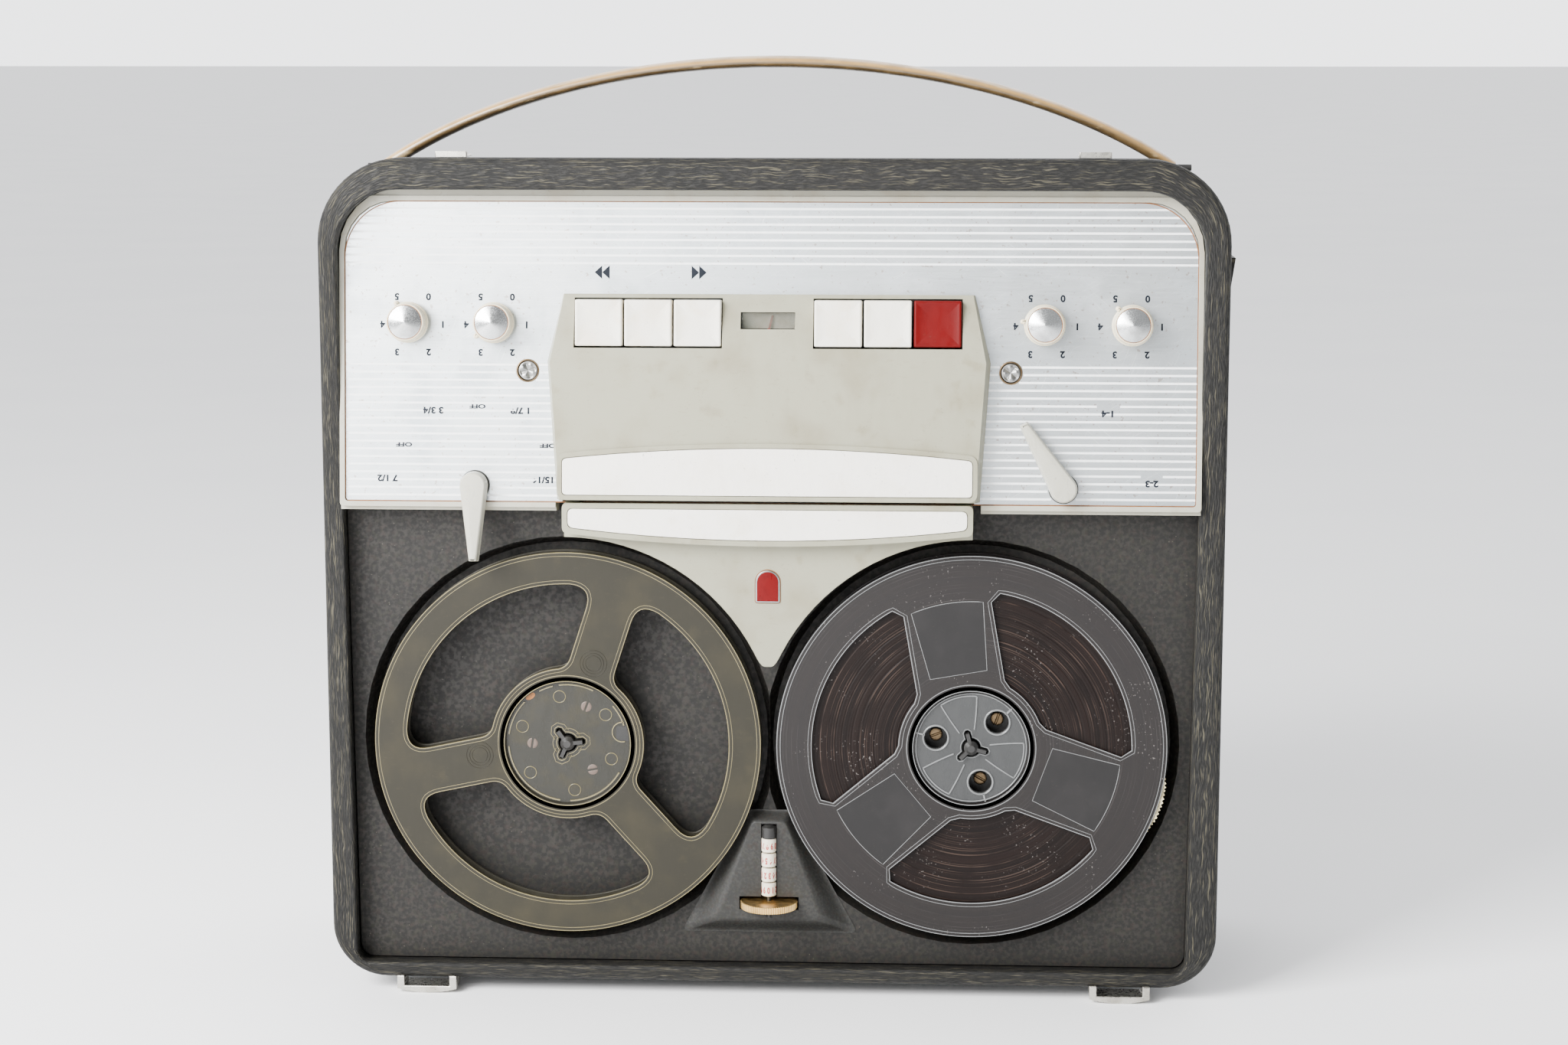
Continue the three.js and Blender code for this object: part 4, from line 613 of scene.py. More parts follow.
def leathercloth(name, wrapped):
    """Embossed vinyl leathercloth: matt and nearly black, with thin wavy ridges rubbed paler. Laid round the
    case in bands, so there it reads the case's own map; elsewhere it runs up and down."""
    material, tree, place = begun(name)
    if wrapped:
        spot = put(tree, "ShaderNodeUVMap", uv_map="UVMap").outputs[0]
    else:
        parts = put(tree, "ShaderNodeSeparateXYZ", {"Vector": place}).outputs
        spot = put(tree, "ShaderNodeCombineXYZ", {0: parts[2], 1: parts[1]}).outputs[0]
    parts = put(tree, "ShaderNodeSeparateXYZ", {"Vector": spot}).outputs
    sway = put(tree, "ShaderNodeTexNoise", {"Vector": spot, "Scale": 1 / (16 * MM), "Detail": 2.0})
    across = combined(tree, "ADD", parts[1], scaled(tree, sway, -1.1 * MM, 1.1 * MM))
    laid = put(tree, "ShaderNodeCombineXYZ", {0: parts[0], 1: across})
    # Ridges about 0.45 mm apart and 4.5 mm long, with longer pale threads between them
    ridges = patches(tree, laid, 4.5, 0.42, 0.62, 3.0, (1.0, 10.0, 1.0))
    threads = patches(tree, laid, 9.0, 0.57, 0.66, 2.0, (1.0, 28.0, 1.0), 3.0)
    rubbed = patches(tree, spot, 34.0, 0.4, 0.75, 4.0)
    ridge = tinted(tree, ridges, tinted(tree, rubbed, "#0a0a09", "#100f0e"), "#1c1b19")
    ended(tree, {"Base Color": layered(tree, ridge, (threads, 0.8, "#4a4639")),
                 "Roughness": scaled(tree, ridges, 0.66, 0.5), "Specular IOR Level": 0.25,
                 "Normal": bumped(tree, ridges, 0.16, 0.8, bumped(tree, threads, 0.1, 0.6))})
    return material


def speckled_paint(name, ground, lighter, speck, size=1.6, rough=0.55):
    """Sprayed spatter paint on metal: a dark ground under olive and brown mottle, with tiny pale specks."""
    material, tree, place = begun(name)
    mottle = patches(tree, place, size, 0.4, 0.68, 2.0)
    olive = patches(tree, place, size * 1.3, 0.5, 0.7, 1.0, seed=3.0)
    brown = patches(tree, place, size * 1.5, 0.52, 0.7, 1.0, seed=6.0)
    cloud = patches(tree, place, 28.0, 0.35, 0.7, 3.0, seed=5.0)
    cells = put(tree, "ShaderNodeTexVoronoi", {"Vector": place, "Scale": 1 / (2.6 * MM)})
    specks = put(tree, "ShaderNodeMapRange", {"Value": cells.outputs["Distance"], "From Min": 0.14,
                                              "From Max": 0.04})
    specks = combined(tree, "MULTIPLY", specks, patches(tree, place, 4.5, 0.58, 0.64, 0.0, seed=9.0))
    base = layered(tree, tinted(tree, mottle, ground, lighter), (olive, 0.5, "#1f1f16"),
                   (brown, 0.5, "#231a16"), (cloud, 0.35, ground), (specks, 0.7, speck))
    ended(tree, {"Base Color": base, "Roughness": scaled(tree, mottle, rough + 0.1, rough - 0.06),
                 "Specular IOR Level": 0.3,
                 "Normal": bumped(tree, mottle, 0.05, 0.5, bumped(tree, specks, 0.06, 0.5))})
    return material


def moulded(name, base, stain, grime=0.3, rough=0.35, patch=14.0, spotting=0.25, coat=0.0, shine=0.5):
    """Injection-moulded styrene that has aged: glossy skin gone a little dull, with tan stains and dirt."""
    material, tree, place = begun(name)
    cloud = patches(tree, place, patch, 0.45, 0.75, 4.0)
    smudge = patches(tree, place, 11.0, 0.6, 0.74, 5.0, seed=2.0)
    streak = patches(tree, place, 5.0, 0.6, 0.8, 5.0, (1.0, 1.0, 3.0), 2.0)
    spots = patches(tree, place, 0.9, 0.66, 0.72, 1.0, seed=7.0)
    dirt = combined(tree, "MULTIPLY", spots, patches(tree, place, 9.0, 0.52, 0.62, 2.0, seed=4.0))
    colour = layered(tree, base, (cloud, grime, stain), (streak, grime * 0.7, stain),
                     (smudge, grime * 0.8, stain), (dirt, spotting, "#4b4136"))
    scuff = patches(tree, place, 3.0, 0.3, 0.7, 6.0, (1.0, 1.0, 0.3), 6.0)
    ended(tree, {"Base Color": colour, "Roughness": scaled(tree, scuff, rough - 0.06, rough + 0.12),
                 "Specular IOR Level": shine, "Coat Weight": coat, "Coat Roughness": 0.12,
                 "Normal": bumped(tree, scuff, 0.01, 0.3)})
    return material


def brushed_aluminium():
    """Anodised aluminium sheet brushed along the machine: cloudy with age, with fine scratches every way."""
    material, tree, place = begun("brushed_anodised_aluminium")
    brush = patches(tree, place, 9.0, 0.3, 0.7, 6.0, (0.5, 40.0, 40.0))
    cloud = patches(tree, place, 16.0, 0.45, 0.72, 5.0, seed=1.0)
    bloom = patches(tree, place, 60.0, 0.35, 0.65, 2.0, seed=8.0)
    spots = patches(tree, place, 1.6, 0.68, 0.73, 1.0, seed=11.0)
    marks = []
    for turn, seed in ((0.5, 2.0), (-0.7, 4.0), (1.2, 6.0)):
        spot = put(tree, "ShaderNodeMapping", {"Vector": place, "Rotation": (0.0, turn, 0.0)})
        marks.append(patches(tree, spot, 7.0, 0.67, 0.71, 3.0, (0.5, 1.0, 22.0), seed))
    scratch = combined(tree, "MAXIMUM", combined(tree, "MAXIMUM", marks[0], marks[1]), marks[2])
    colour = layered(tree, tinted(tree, cloud, "#cdd3d5", "#b4bbbf"), (bloom, 0.5, "#d9dcdc"),
                     (brush, 0.2, "#949ba0"), (scratch, 0.5, "#f2f4f4"), (spots, 0.45, "#7d5a38"))
    rough = combined(tree, "ADD", scaled(tree, cloud, 0.32, 0.42), scaled(tree, brush, -0.04, 0.05))
    ended(tree, {"Base Color": colour, "Roughness": rough, "Metallic": 0.85,
                 "Normal": bumped(tree, brush, 0.01, 0.3, bumped(tree, scratch, 0.015, 0.3))})
    return material


def plain_metal(name, base, dark, rough, grain=2.0, pits=0.3):
    """Plated or bare metal: bright, clouded by handling, with a few dark pits."""
    material, tree, place = begun(name)
    cloud = patches(tree, place, 7.0, 0.42, 0.72, 3.0)
    fine = patches(tree, place, grain, 0.35, 0.7, 3.0, seed=2.0)
    pit = patches(tree, place, 0.9, 0.68, 0.74, 1.0, seed=5.0)
    ended(tree, {"Base Color": layered(tree, base, (cloud, 0.5, dark), (pit, pits, "#2b2520")),
                 "Metallic": 1.0, "Roughness": scaled(tree, fine, rough - 0.05, rough + 0.08),
                 "Normal": bumped(tree, fine, 0.008, 0.3)})
    return material


def meter_window():
    """Clear polystyrene sheet: part of the light goes straight through, the rest meets a haze with a glossy
    face, thicker where it has been wiped."""
    material, tree, place = begun("clear_meter_window")
    grey, cover, haze, rough = "#5e6056", 0.35, 0.06, 0.06
    cloud = patches(tree, place, 18.0, 0.4, 0.7, 4.0)
    wiped = patches(tree, place, 6.0, 0.6, 0.75, 5.0, (1.0, 1.0, 0.35), 3.0)
    veil = combined(tree, "ADD", scaled(tree, cloud, cover, cover + haze), scaled(tree, wiped, 0.0, haze))
    ended(tree, {"Base Color": layered(tree, grey, (cloud, 0.7, grey)), "IOR": 1.59, "Alpha": veil,
                 "Roughness": scaled(tree, wiped, rough, rough + 0.12)})
    return material


def wound_tape(name, dark, brown, ring, coat=0.0):
    """Side of a wound pack of oxide tape: dark brown layers, some standing a little proud as fine pale rings.
    With a clear coat and greyer colours it is the pack seen through a clear reel's flange."""
    material, tree, place = begun(name)
    middle = placed((SHIFT + SPINDLE_HALF, 0.0, SPINDLE_Z))
    spot = put(tree, "ShaderNodeMapping", {"Vector": place, "Location": (-middle[0], 0.0, -middle[2])})
    flat = put(tree, "ShaderNodeVectorMath", {0: spot, 1: (1.0, 0.0, 1.0)}, operation="MULTIPLY")
    radius = put(tree, "ShaderNodeVectorMath", {0: flat}, operation="LENGTH").outputs["Value"]
    # Layers are 0.05 mm; drawn as bunches of about 0.5 mm so that they show
    fine, bands = (put(tree, "ShaderNodeTexNoise", {"W": radius, "Scale": 1 / (size * MM), "Detail": detail},
                       noise_dimensions="1D") for size, detail in ((0.7, 3.0), (7.0, 2.0)))
    rings = put(tree, "ShaderNodeMapRange", {"Value": fine, "From Min": 0.57, "From Max": 0.7})
    shown = combined(tree, "MULTIPLY", rings, patches(tree, place, 16.0, 0.35, 0.65, 2.0, seed=3.0))
    dust = combined(tree, "MULTIPLY", patches(tree, place, 1.0, 0.66, 0.72, 2.0, seed=5.0),
                    patches(tree, place, 20.0, 0.5, 0.66, 2.0, seed=8.0))
    colour = layered(tree, tinted(tree, bands, dark, brown), (shown, 0.7, ring), (dust, 0.7, "#6b6663"))
    ended(tree, {"Base Color": colour, "Roughness": 0.42, "Specular IOR Level": 0.12,
                 "Coat Weight": coat, "Coat Roughness": 0.12, "Normal": bumped(tree, fine, 0.1, 0.8)})
    return material


def soft_black(name, base, rough=0.7):
    """Rubber or dark phenolic: even and dull, with dust in a fine grain."""
    material, tree, place = begun(name)
    grain = patches(tree, place, 0.7, 0.35, 0.7, 2.0)
    dust = patches(tree, place, 12.0, 0.45, 0.8, 4.0, seed=2.0)
    ended(tree, {"Base Color": layered(tree, base, (dust, 0.3, "#34312c")), "IOR": 1.5,
                 "Roughness": scaled(tree, grain, rough - 0.05, rough + 0.08),
                 "Normal": bumped(tree, grain, 0.03, 0.4)})
    return material


def strap():
    """Tan vinyl strap moulded over a steel core: waxy and brown with handling, with painted light and shade:
    paler on faces turned up, darker on faces turned down.
    """
    material, tree, place = begun("tan_vinyl_strap")
    cloud = patches(tree, place, 9.0, 0.38, 0.72, 5.0)
    scratch = patches(tree, place, 7.0, 0.58, 0.7, 4.0, (0.35, 2.0, 1.0), 4.0)
    # Painted light and shade: the colour runs from dark brown on faces turned down to pale tan on faces
    # turned up.
    normal = put(tree, "ShaderNodeNewGeometry").outputs["Normal"]
    facing = put(tree, "ShaderNodeSeparateXYZ", {"Vector": normal}).outputs[2]
    painted_light_and_shade = put(tree, "ShaderNodeMapRange", {"Value": facing, "From Min": -0.3, "From Max": 0.7},
                interpolation_type="SMOOTHSTEP")
    colour = layered(tree, tinted(tree, painted_light_and_shade, "#453722", "#a5824c"), (cloud, 0.45, "#6d5632"),
                     (scratch, 0.3, "#d3bc91"))
    ended(tree, {"Base Color": colour, "Roughness": scaled(tree, cloud, 0.3, 0.45), "IOR": 1.52,
                 "Coat Weight": 0.25, "Coat Roughness": 0.2, "Normal": bumped(tree, cloud, 0.05, 0.4)})
    return material


def printed(name, base, rough=0.5):
    """Screen-printed ink: flat, a little uneven where it has worn."""
    material, tree, place = begun(name)
    worn = patches(tree, place, 2.5, 0.5, 0.85, 4.0)
    ended(tree, {"Base Color": layered(tree, base, (worn, 0.35, "#b9bcbc")), "IOR": 1.5,
                 "Roughness": scaled(tree, worn, rough, rough + 0.15)})
    return material


LEATHERCLOTH = leathercloth("embossed_vinyl_leathercloth", True)
FLAP_CLOTH = leathercloth("embossed_vinyl_on_the_flap", False)
DECK_PAINT = speckled_paint("spatter_enamelled_steel", "#0f0e0c", "#1f1c18", "#4a463c", 2.0)
HOUSING_PAINT = speckled_paint("painted_counter_mound", "#20201f", "#2b2a27", "#0a0a0a", 1.2, 0.5)
CREAM = moulded("cream_polystyrene", "#a3a091", "#83714f", 0.3, 0.34)
KNOB_CREAM = moulded("ivory_urea_knob", "#dbd0b4", "#c9a877", 0.35, 0.3, 8.0, 0.15)
STONE = moulded("stone_grey_polystyrene", "#8c8a76", "#685b3d", 0.4, 0.4, 26.0)
INSERT_WHITE = moulded("white_stove_enamel", "#efebe2", "#cdbf9f", 0.25, 0.25, 20.0, 0.4, 0.2)
IVORY = moulded("ivory_key_polystyrene", "#e9e5d8", "#c8a66b", 0.22, 0.28, 16.0, 0.2, 0.2)
RECORD_RED = moulded("red_key_polystyrene", "#560708", "#3c0405", 0.35, 0.35, 16.0, 0.2, 0.0, 0.12)
LEVER_GREY = moulded("pale_grey_lever_styrene", "#aeac9e", "#857b62", 0.3, 0.3, 10.0, 0.3)
ALUMINIUM = brushed_aluminium()
SPUN = plain_metal("spun_aluminium_cap", "#c9cbcb", "#7d7c7a", 0.26, 0.6, 0.15)
NICKEL = plain_metal("nickel_plated_steel", "#c9c6bd", "#8d877a", 0.3, pits=0.5)
STEEL = plain_metal("turned_steel", "#8f8f8d", "#5f5f5e", 0.36)
BRASS = plain_metal("knurled_brass", "#dcb877", "#a88548", 0.34)
BRONZE = plain_metal("browned_screw_steel", "#6b5a44", "#3d3226", 0.4)
FROSTED = moulded("frosted_reel_styrene", "#26241d", "#343023", 0.5, 0.42, 24.0, 0.1, 0.0, 0.18)
CLEAR = wound_tape("clear_reel_styrene_over_tape", "#110f0f", "#191412", "#2c2827", 0.3)
HUB_CLEAR = moulded("clear_hub_web", "#2f3030", "#262727", 0.4, 0.22, 14.0, 0.1, 0.15, 0.3)
LABEL_FIELD = moulded("hazed_label_field", "#1c1b1b", "#252323", 0.5, 0.35, 20.0, 0.1, 0.0, 0.2)
HUB_YELLOWED = moulded("yellowed_hub_web", "#21201a", "#2e2917", 0.5, 0.22, 10.0, 0.2, 0.12, 0.25)
# Pale styrene for the reels' thin lines, ribs and frames: the paleness is painted glint on their edges.
PAINTED_GLINT_CLEAR = moulded("clear_styrene_painted_glint", "#6a6b6b", "#505151", 0.5, 0.15, 12.0, 0.1)
PAINTED_GLINT_YELLOWED = moulded("yellowed_styrene_painted_glint", "#6b6242", "#4a432c", 0.6, 0.15, 10.0, 0.1)
WINDOW = meter_window()
TAPE = wound_tape("wound_oxide_tape", "#070505", "#180f0c", "#43362f")
COPPERY = moulded("coppery_screw_seen_through_the_hub", "#54453c", "#41362e", 0.3, 0.5, 3.0)
ORANGE = moulded("orange_grease_mark", "#8f5512", "#5c340b", 0.5, 0.4, 2.0)
RUBBER = soft_black("black_rubber", "#131313")
DARK_PLASTIC = soft_black("black_phenolic", "#161514", 0.45)
STRAP = strap()
WHITE_LINE = printed("white_screen_print", "#f1f3f3", 0.45)
INK = moulded("blue_grey_screen_print", "#10151d", "#1d232c", 0.3, 0.5, 6.0, 0.1, 0.0, 0.15)
STAIN = moulded("aged_brown_glue_line", "#7d4f26", "#4f3018", 0.6, 0.55, 3.0)
BADGE_RED = moulded("red_badge_enamel", "#5a0709", "#3c0405", 0.3, 0.3, 4.0, 0.1, 0.0, 0.12)
DRUM_WHITE = moulded("white_drum_styrene", "#ded6c4", "#b89f78", 0.4, 0.4, 3.0)
DRUM_RED = printed("red_drum_figures", "#a03a36")
PAPER = moulded("leader_paper", "#cfc39c", "#a38a56", 0.5, 0.7, 3.0)
MOTOR_GREY = speckled_paint("grey_lacquered_steel", "#4e5052", "#5b5d5f", "#7d7f80", 1.2, 0.45)
SPEAKER_GREY = speckled_paint("pressed_basket_and_cone", "#3c3b39", "#484745", "#5f5d59", 2.2, 0.7)

# Pieces that keep the CAD model's own shape: their material, the width of their rounded edges, their slot,
# in how many steps an edge is rounded, and their nodes
DRESSED = (
    (DARK_PLASTIC, 0.5, "dark_plastic", 3, "handle_cup_left handle_cup_right socket_panel"),
    (FLAP_CLOTH, 0.5, "leathercloth", 3, "side_flap"),
    (DARK_PLASTIC, 0.6, "dark_plastic", 3, "back_panel"),
    (RUBBER, 1.0, "rubber", 3, "back_foot_left back_foot_right"),
    (RUBBER, 0.6, "rubber", 3, "standing_stud_left standing_stud_right"),
    (NICKEL, 0.5, "nickel", 3, "hinge_loop_left hinge_loop_right"),
    (NICKEL, 0.4, "nickel", 3, "lid_catch_left lid_catch_right"),
    (DECK_PAINT, 0.9, "speckled_paint", 3, "deck_plate"),
    (STONE, 1.2, "stone_plastic", 3, "tongue_cover"),
    (INSERT_WHITE, 0.3, "white_enamel", 3, "tongue_insert_plate head_insert_plate"),
    (DARK_PLASTIC, 0.2, "steel", 3, "counter_axle"),
    (CREAM, 0.6, "cream", 3, "control_bezel"),
    (ALUMINIUM, 0.15, "brushed", 1, "control_plate"),
    (STONE, 1.2, "stone_plastic", 4, "head_cover"),
    (DARK_PLASTIC, 0.3, "steel", 3, "meter_body"),
    (WINDOW, 0.2, "crystal", 3, "meter_window"),
    (DRUM_RED, 0.0, "needle_red", 3, "meter_pointer"),
    (STEEL, 0.3, "steel", 2, "head_block capstan_flywheel chassis_frame"),
    (RUBBER, 0.3, "rubber", 2, "pinch_roller drive_belt"),
    (MOTOR_GREY, 0.3, "motor_grey", 2, "motor"),
    (BRASS, 0.3, "brass", 2, "motor_pulley"),
    (SPEAKER_GREY, 0.3, "speaker_grey", 2, "loudspeaker"),
    (DARK_PLASTIC, 0.3, "steel", 2, "left_turntable right_turntable"),
)


# Case

def body_inset(y):
    """How far the body stands in from the rim: a step, then a steady draft to the back."""
    return RIM_STEP + CASE_DRAFT * (y - RIM_DEPTH) / (CASE_DEPTH - RIM_DEPTH)


def case_ring(y, inset):
    """The case's outline drawn in by an inset, at a depth."""
    half = CASE_HALF - inset
    return on_front(at(box_outline(half, half, CASE_LOW + inset, CASE_HIGH - inset,
                                   CORNER_BOTTOM - inset, CORNER_TOP - inset, 14), y))


def pocket_ring(y, gap):
    """The outline of the pocket that holds the deck and panel, drawn in by a gap, at a depth."""
    outline = box_outline(CASE_HALF - WALL_SIDE_BOTTOM - gap, CASE_HALF - WALL_SIDE_TOP - gap,
                          CASE_LOW + WALL_BOTTOM + gap, CASE_HIGH - WALL_TOP - gap,
                          INNER_CORNER_BOTTOM - gap, INNER_CORNER_TOP - gap, 14)
    return on_front(at(outline + [SHIFT, 0.0], y))


def gone(path, share):
    """Length gone along a closed path at a share of its points."""
    steps = np.linalg.norm(np.diff(np.concatenate([path, path[:1]]), axis=0), axis=1)
    return np.interp(share * len(path), np.arange(len(path) + 1), np.cumsum([0, *steps]))


def make_case():
    """Shell carried round the case's outline: back edge, drafted body, stepped and rolled rim, pocket, inner
    wall. Its map gives the covering's millimetres round the case and from back to front, as thousandths."""
    along, inward = quarter(9)
    depths = np.linspace(CASE_DEPTH, RIM_DEPTH + RIM_STEP, 6)
    outer = [case_ring(CASE_DEPTH, body_inset(CASE_DEPTH) + BACK_LIP)]
    outer += [case_ring(y, body_inset(y)) for y in [CASE_DEPTH - BACK_LIP, *depths[1:]]]
    outer += [case_ring(RIM_DEPTH + RIM_STEP * (1 - a), RIM_STEP * (1 - a ** 2)) for a in (0.35, 0.7, 0.9)]
    outer += [case_ring(RIM_DEPTH, 0.0)]
    outer += [case_ring(RIM_ROUND * (1 - a), RIM_ROUND * i) for a, i in zip(along, inward)]
    mouth = RIM_ROUND / 2
    # The covering is turned in a little over the pocket's edge
    inner = [pocket_ring(mouth * (1 - c), RIM_TURN_IN - mouth * (1 - s))
             for s, c in zip(along, np.sqrt(1 - along ** 2))]
    inner += [pocket_ring(6.0, RIM_TURN_IN), pocket_ring(7.0, 0.0), pocket_ring(POCKET_DEPTH, 0.0),
              case_ring(POCKET_DEPTH + RIM_ROUND, body_inset(POCKET_DEPTH) + WALL_BODY),
              case_ring(CASE_DEPTH, body_inset(CASE_DEPTH) + WALL_BODY)]
    rings = np.stack(outer + inner)
    points, faces, uv = skin(rings, True)
    uv = np.column_stack([gone(rings[len(outer) // 2], uv[:, 0]), gone(rings[:, 0], uv[:, 1])]) * MM
    shell = made("case_shell_covered", (points, faces, uv), LEATHERCLOTH, "case",
                 sharp=50)
    half = CUP_WIDTH / 2
    wells = [boxes([left, HANDLE_Y - half, CUP_FLOOR], [right, HANDLE_Y + half, CASE_HIGH + 1])
             for left, right in ((-CUP_OUTER, -CUP_INNER), (CUP_INNER, CUP_OUTER))]
    socket = boxes([CASE_HALF - WALL_SIDE_BOTTOM - WALL_BODY - 1, *SOCKET_LOW], [CASE_HALF + 1, *SOCKET_HIGH])
    cut_out(shell, joined([*wells, socket]))
    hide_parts("case_shell")


def make_handle():
    """Bowed strap: a flattened round section carried along an ellipse, narrowing to an eye at each end."""
    stations = 120
    x = HANDLE_REACH * np.sin(np.linspace(-math.pi / 2, math.pi / 2, stations))
    share = np.abs(x) / HANDLE_REACH
    drop = HANDLE_ELLIPSE_Z * (1 - np.sqrt(1 - (x / HANDLE_ELLIPSE_X) ** 2))
    path = np.stack([x, np.full(stations, HANDLE_Y), HANDLE_APEX - drop], -1)
    slope = np.gradient(path[:, 2], x, edge_order=2)
    outward = np.stack([-slope, np.zeros(stations), np.ones(stations)], -1)
    outward /= np.linalg.norm(outward, axis=1, keepdims=True)
    middle = path - outward * HANDLE_THICKNESS / 2
    half = (HANDLE_WIDTH + (HANDLE_END_WIDTH - HANDLE_WIDTH) * share ** 3) / 2
    cos, sin = circle(1.0, 32).T
    wide = np.sign(cos) * np.abs(cos) ** 0.7
    tall = np.sign(sin) * np.abs(sin) ** 0.8 * HANDLE_THICKNESS / 2
    # The underside is a little hollow, so that the strap reads as a shallow channel
    tall = np.where(tall < 0, tall * (1 - HANDLE_HOLLOW * (1 - wide ** 2)), tall)
    rings = (middle[:, None] + wide[None, :, None] * half[:, None, None] * np.array([0.0, 1.0, 0.0])
             + tall[None, :, None] * outward[:, None])
    parts = [skin(rings, caps=True)]
    edge, far = 0.5, HANDLE_EYE_LENGTH
    eye = turned([[0, 0], [HANDLE_EYE - edge, 0], [HANDLE_EYE, edge], [HANDLE_EYE, far - edge],
                  [HANDLE_EYE - edge, far], [0, far]], 32)
    for start in (-HANDLE_REACH, HANDLE_REACH - far):
        parts.append(moved(eye, lambda points: points[:, [2, 0, 1]] + [start, HANDLE_Y, HANDLE_AXIS_Z]))
    made("carrying_strap", parts, STRAP, "handle", None, ("carry_handle",), 50)


# Tongue and counter

def badge_outline(half, low, high):
    """A shield's outline: straight foot with small corners, upright sides, and a round head."""
    head = half * unit(np.linspace(0, math.pi, 25)) + [0.0, high - half]
    foot = soft_outline([(-half, low + 3), (-half, low), (half, low), (half, low + 3)],
                        [0.1, 1.0, 1.0, 0.1], 6)
    return np.concatenate([head, foot[6:18]])


def make_badge():
    """A shield badge on the tongue that is left blank."""
    outline = badge_outline(5.6, -7.5, 7.5)
    edge = levelled(outline, rounded_levels(-0.3, 0.75, 0.4))
    made("badge_silver_edge", edge, STEEL, "case", on_tongue, sharp=60)
    field = levelled(shrunk(outline, 0.75), rounded_levels(0.2, 0.95, 0.15))
    made("badge_red_field", field, BADGE_RED, "case", on_tongue, sharp=60)
    mark = levelled(shrunk(outline, -0.35), [[0.02, 0.0], [0.06, 0.0]])
    made("badge_glue_line", mark, STAIN, "case", on_tongue)


def mound():
    """The counter's pressed mound: its wide foot's outline turns into its face's outline as it rises, with
    the height following a smooth step so that foot and brow are both rounded."""
    foot = box_outline(41.0, 9.6, COUNTER_FOOT_LOW, COUNTER_FOOT_HIGH, 2.0, 3.5, 14) + [SHIFT, 0.0]
    face = box_outline(22.8, 7.6, COUNTER_FACE_LOW, COUNTER_FACE_HIGH, 2.5, 3.0, 14) + [SHIFT, 0.0]
    share = np.linspace(0, 1, 24)[:, None, None]
    ground = DECK_FRONT - 0.3
    height = ground + (COUNTER_Y - ground) * (share * share * (3 - 2 * share))
    return skin(at(foot + (face - foot) * share, height), caps=True)


def figure_on_drum(figure, low, turn_deg):
    """One figure wrapped round a drum: its width becomes an angle and it stands a hair off the surface."""
    points, faces, uv = letters(figure, 3.9, 0.0, 0.0, 0.62, 0.02)
    angle = points[:, 0] / DRUM_RADIUS + math.radians(turn_deg - 90)
    radius = DRUM_RADIUS + 0.01 + points[:, 2:]
    return at(radius * unit(angle), low + DRUM_HEIGHT / 2 + points[:, 1:2]), faces, uv


def make_counter():
    """Pressed mound with its channel and slot, four figure drums, and a knurled wheel that sets them back."""
    housing = made("counter_housing_pressed", mound(), HOUSING_PAINT, "case", on_front,
                   sharp=50)
    bore = DRUM_RADIUS + 0.3
    slot_low, slot_half = COUNTER_FACE_LOW + 4, 13.7
    slot_high, top = slot_low + 6.2, COUNTER_FACE_HIGH - 0.3
    cut_out(housing, moved(turned([[0, slot_low], [bore, slot_low], [bore, top], [0, top]], 48), standing))
    cut_out(housing, boxes([SHIFT - slot_half, COUNTER_Y - 2, slot_low],
                           [SHIFT + slot_half, DECK_FRONT + 2, slot_high]))
    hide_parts("counter_housing")
    for i in range(4):
        low, name, body = DRUM_LOW + i * DRUM_PITCH, f"counter_drum_{i + 1}", f"drum_{i + 1}"
        high, inset = low + DRUM_HEIGHT, DRUM_RADIUS - DRUM_EDGE
        drum = ringed([[DRUM_BORE, low], [inset, low], [DRUM_RADIUS, low + DRUM_EDGE],
                       [DRUM_RADIUS, high - DRUM_EDGE], [inset, high], [DRUM_BORE, high]], 48)
        made(name + "_moulded", drum, DRUM_WHITE, body, standing, (name,))
        figures = [figure_on_drum(str((k + 3 * i) % 10), low, 36 * k + 9 * i) for k in range(10)]
        made(name + "_figures", figures, DRUM_RED, body, standing)
    angles = full_turn(WHEEL_RIDGES * 8)
    tooth = 0.28 * np.abs(np.sin(angles * WHEEL_RIDGES / 2)) - 0.28
    # Profile from bore to rim and back: only the rim's four points carry the ridges
    height = np.array([0, 0, 0.25, WHEEL_THICKNESS - 0.25, WHEEL_THICKNESS, WHEEL_THICKNESS])[:, None]
    rim = WHEEL_RADIUS + np.array([-0.35, 0.0, 0.0, -0.35])[:, None] + tooth
    hole = np.full((1, len(angles)), DRUM_BORE)
    radius = np.concatenate([hole, rim, hole])[..., None]
    wheel = skin(at(radius * unit(angles), WHEEL_LOW + height[..., None]), True)
    made("reset_wheel_knurled", wheel, BRASS, "reset_wheel", standing, ("reset_wheel",), 30)


# Reels and tape

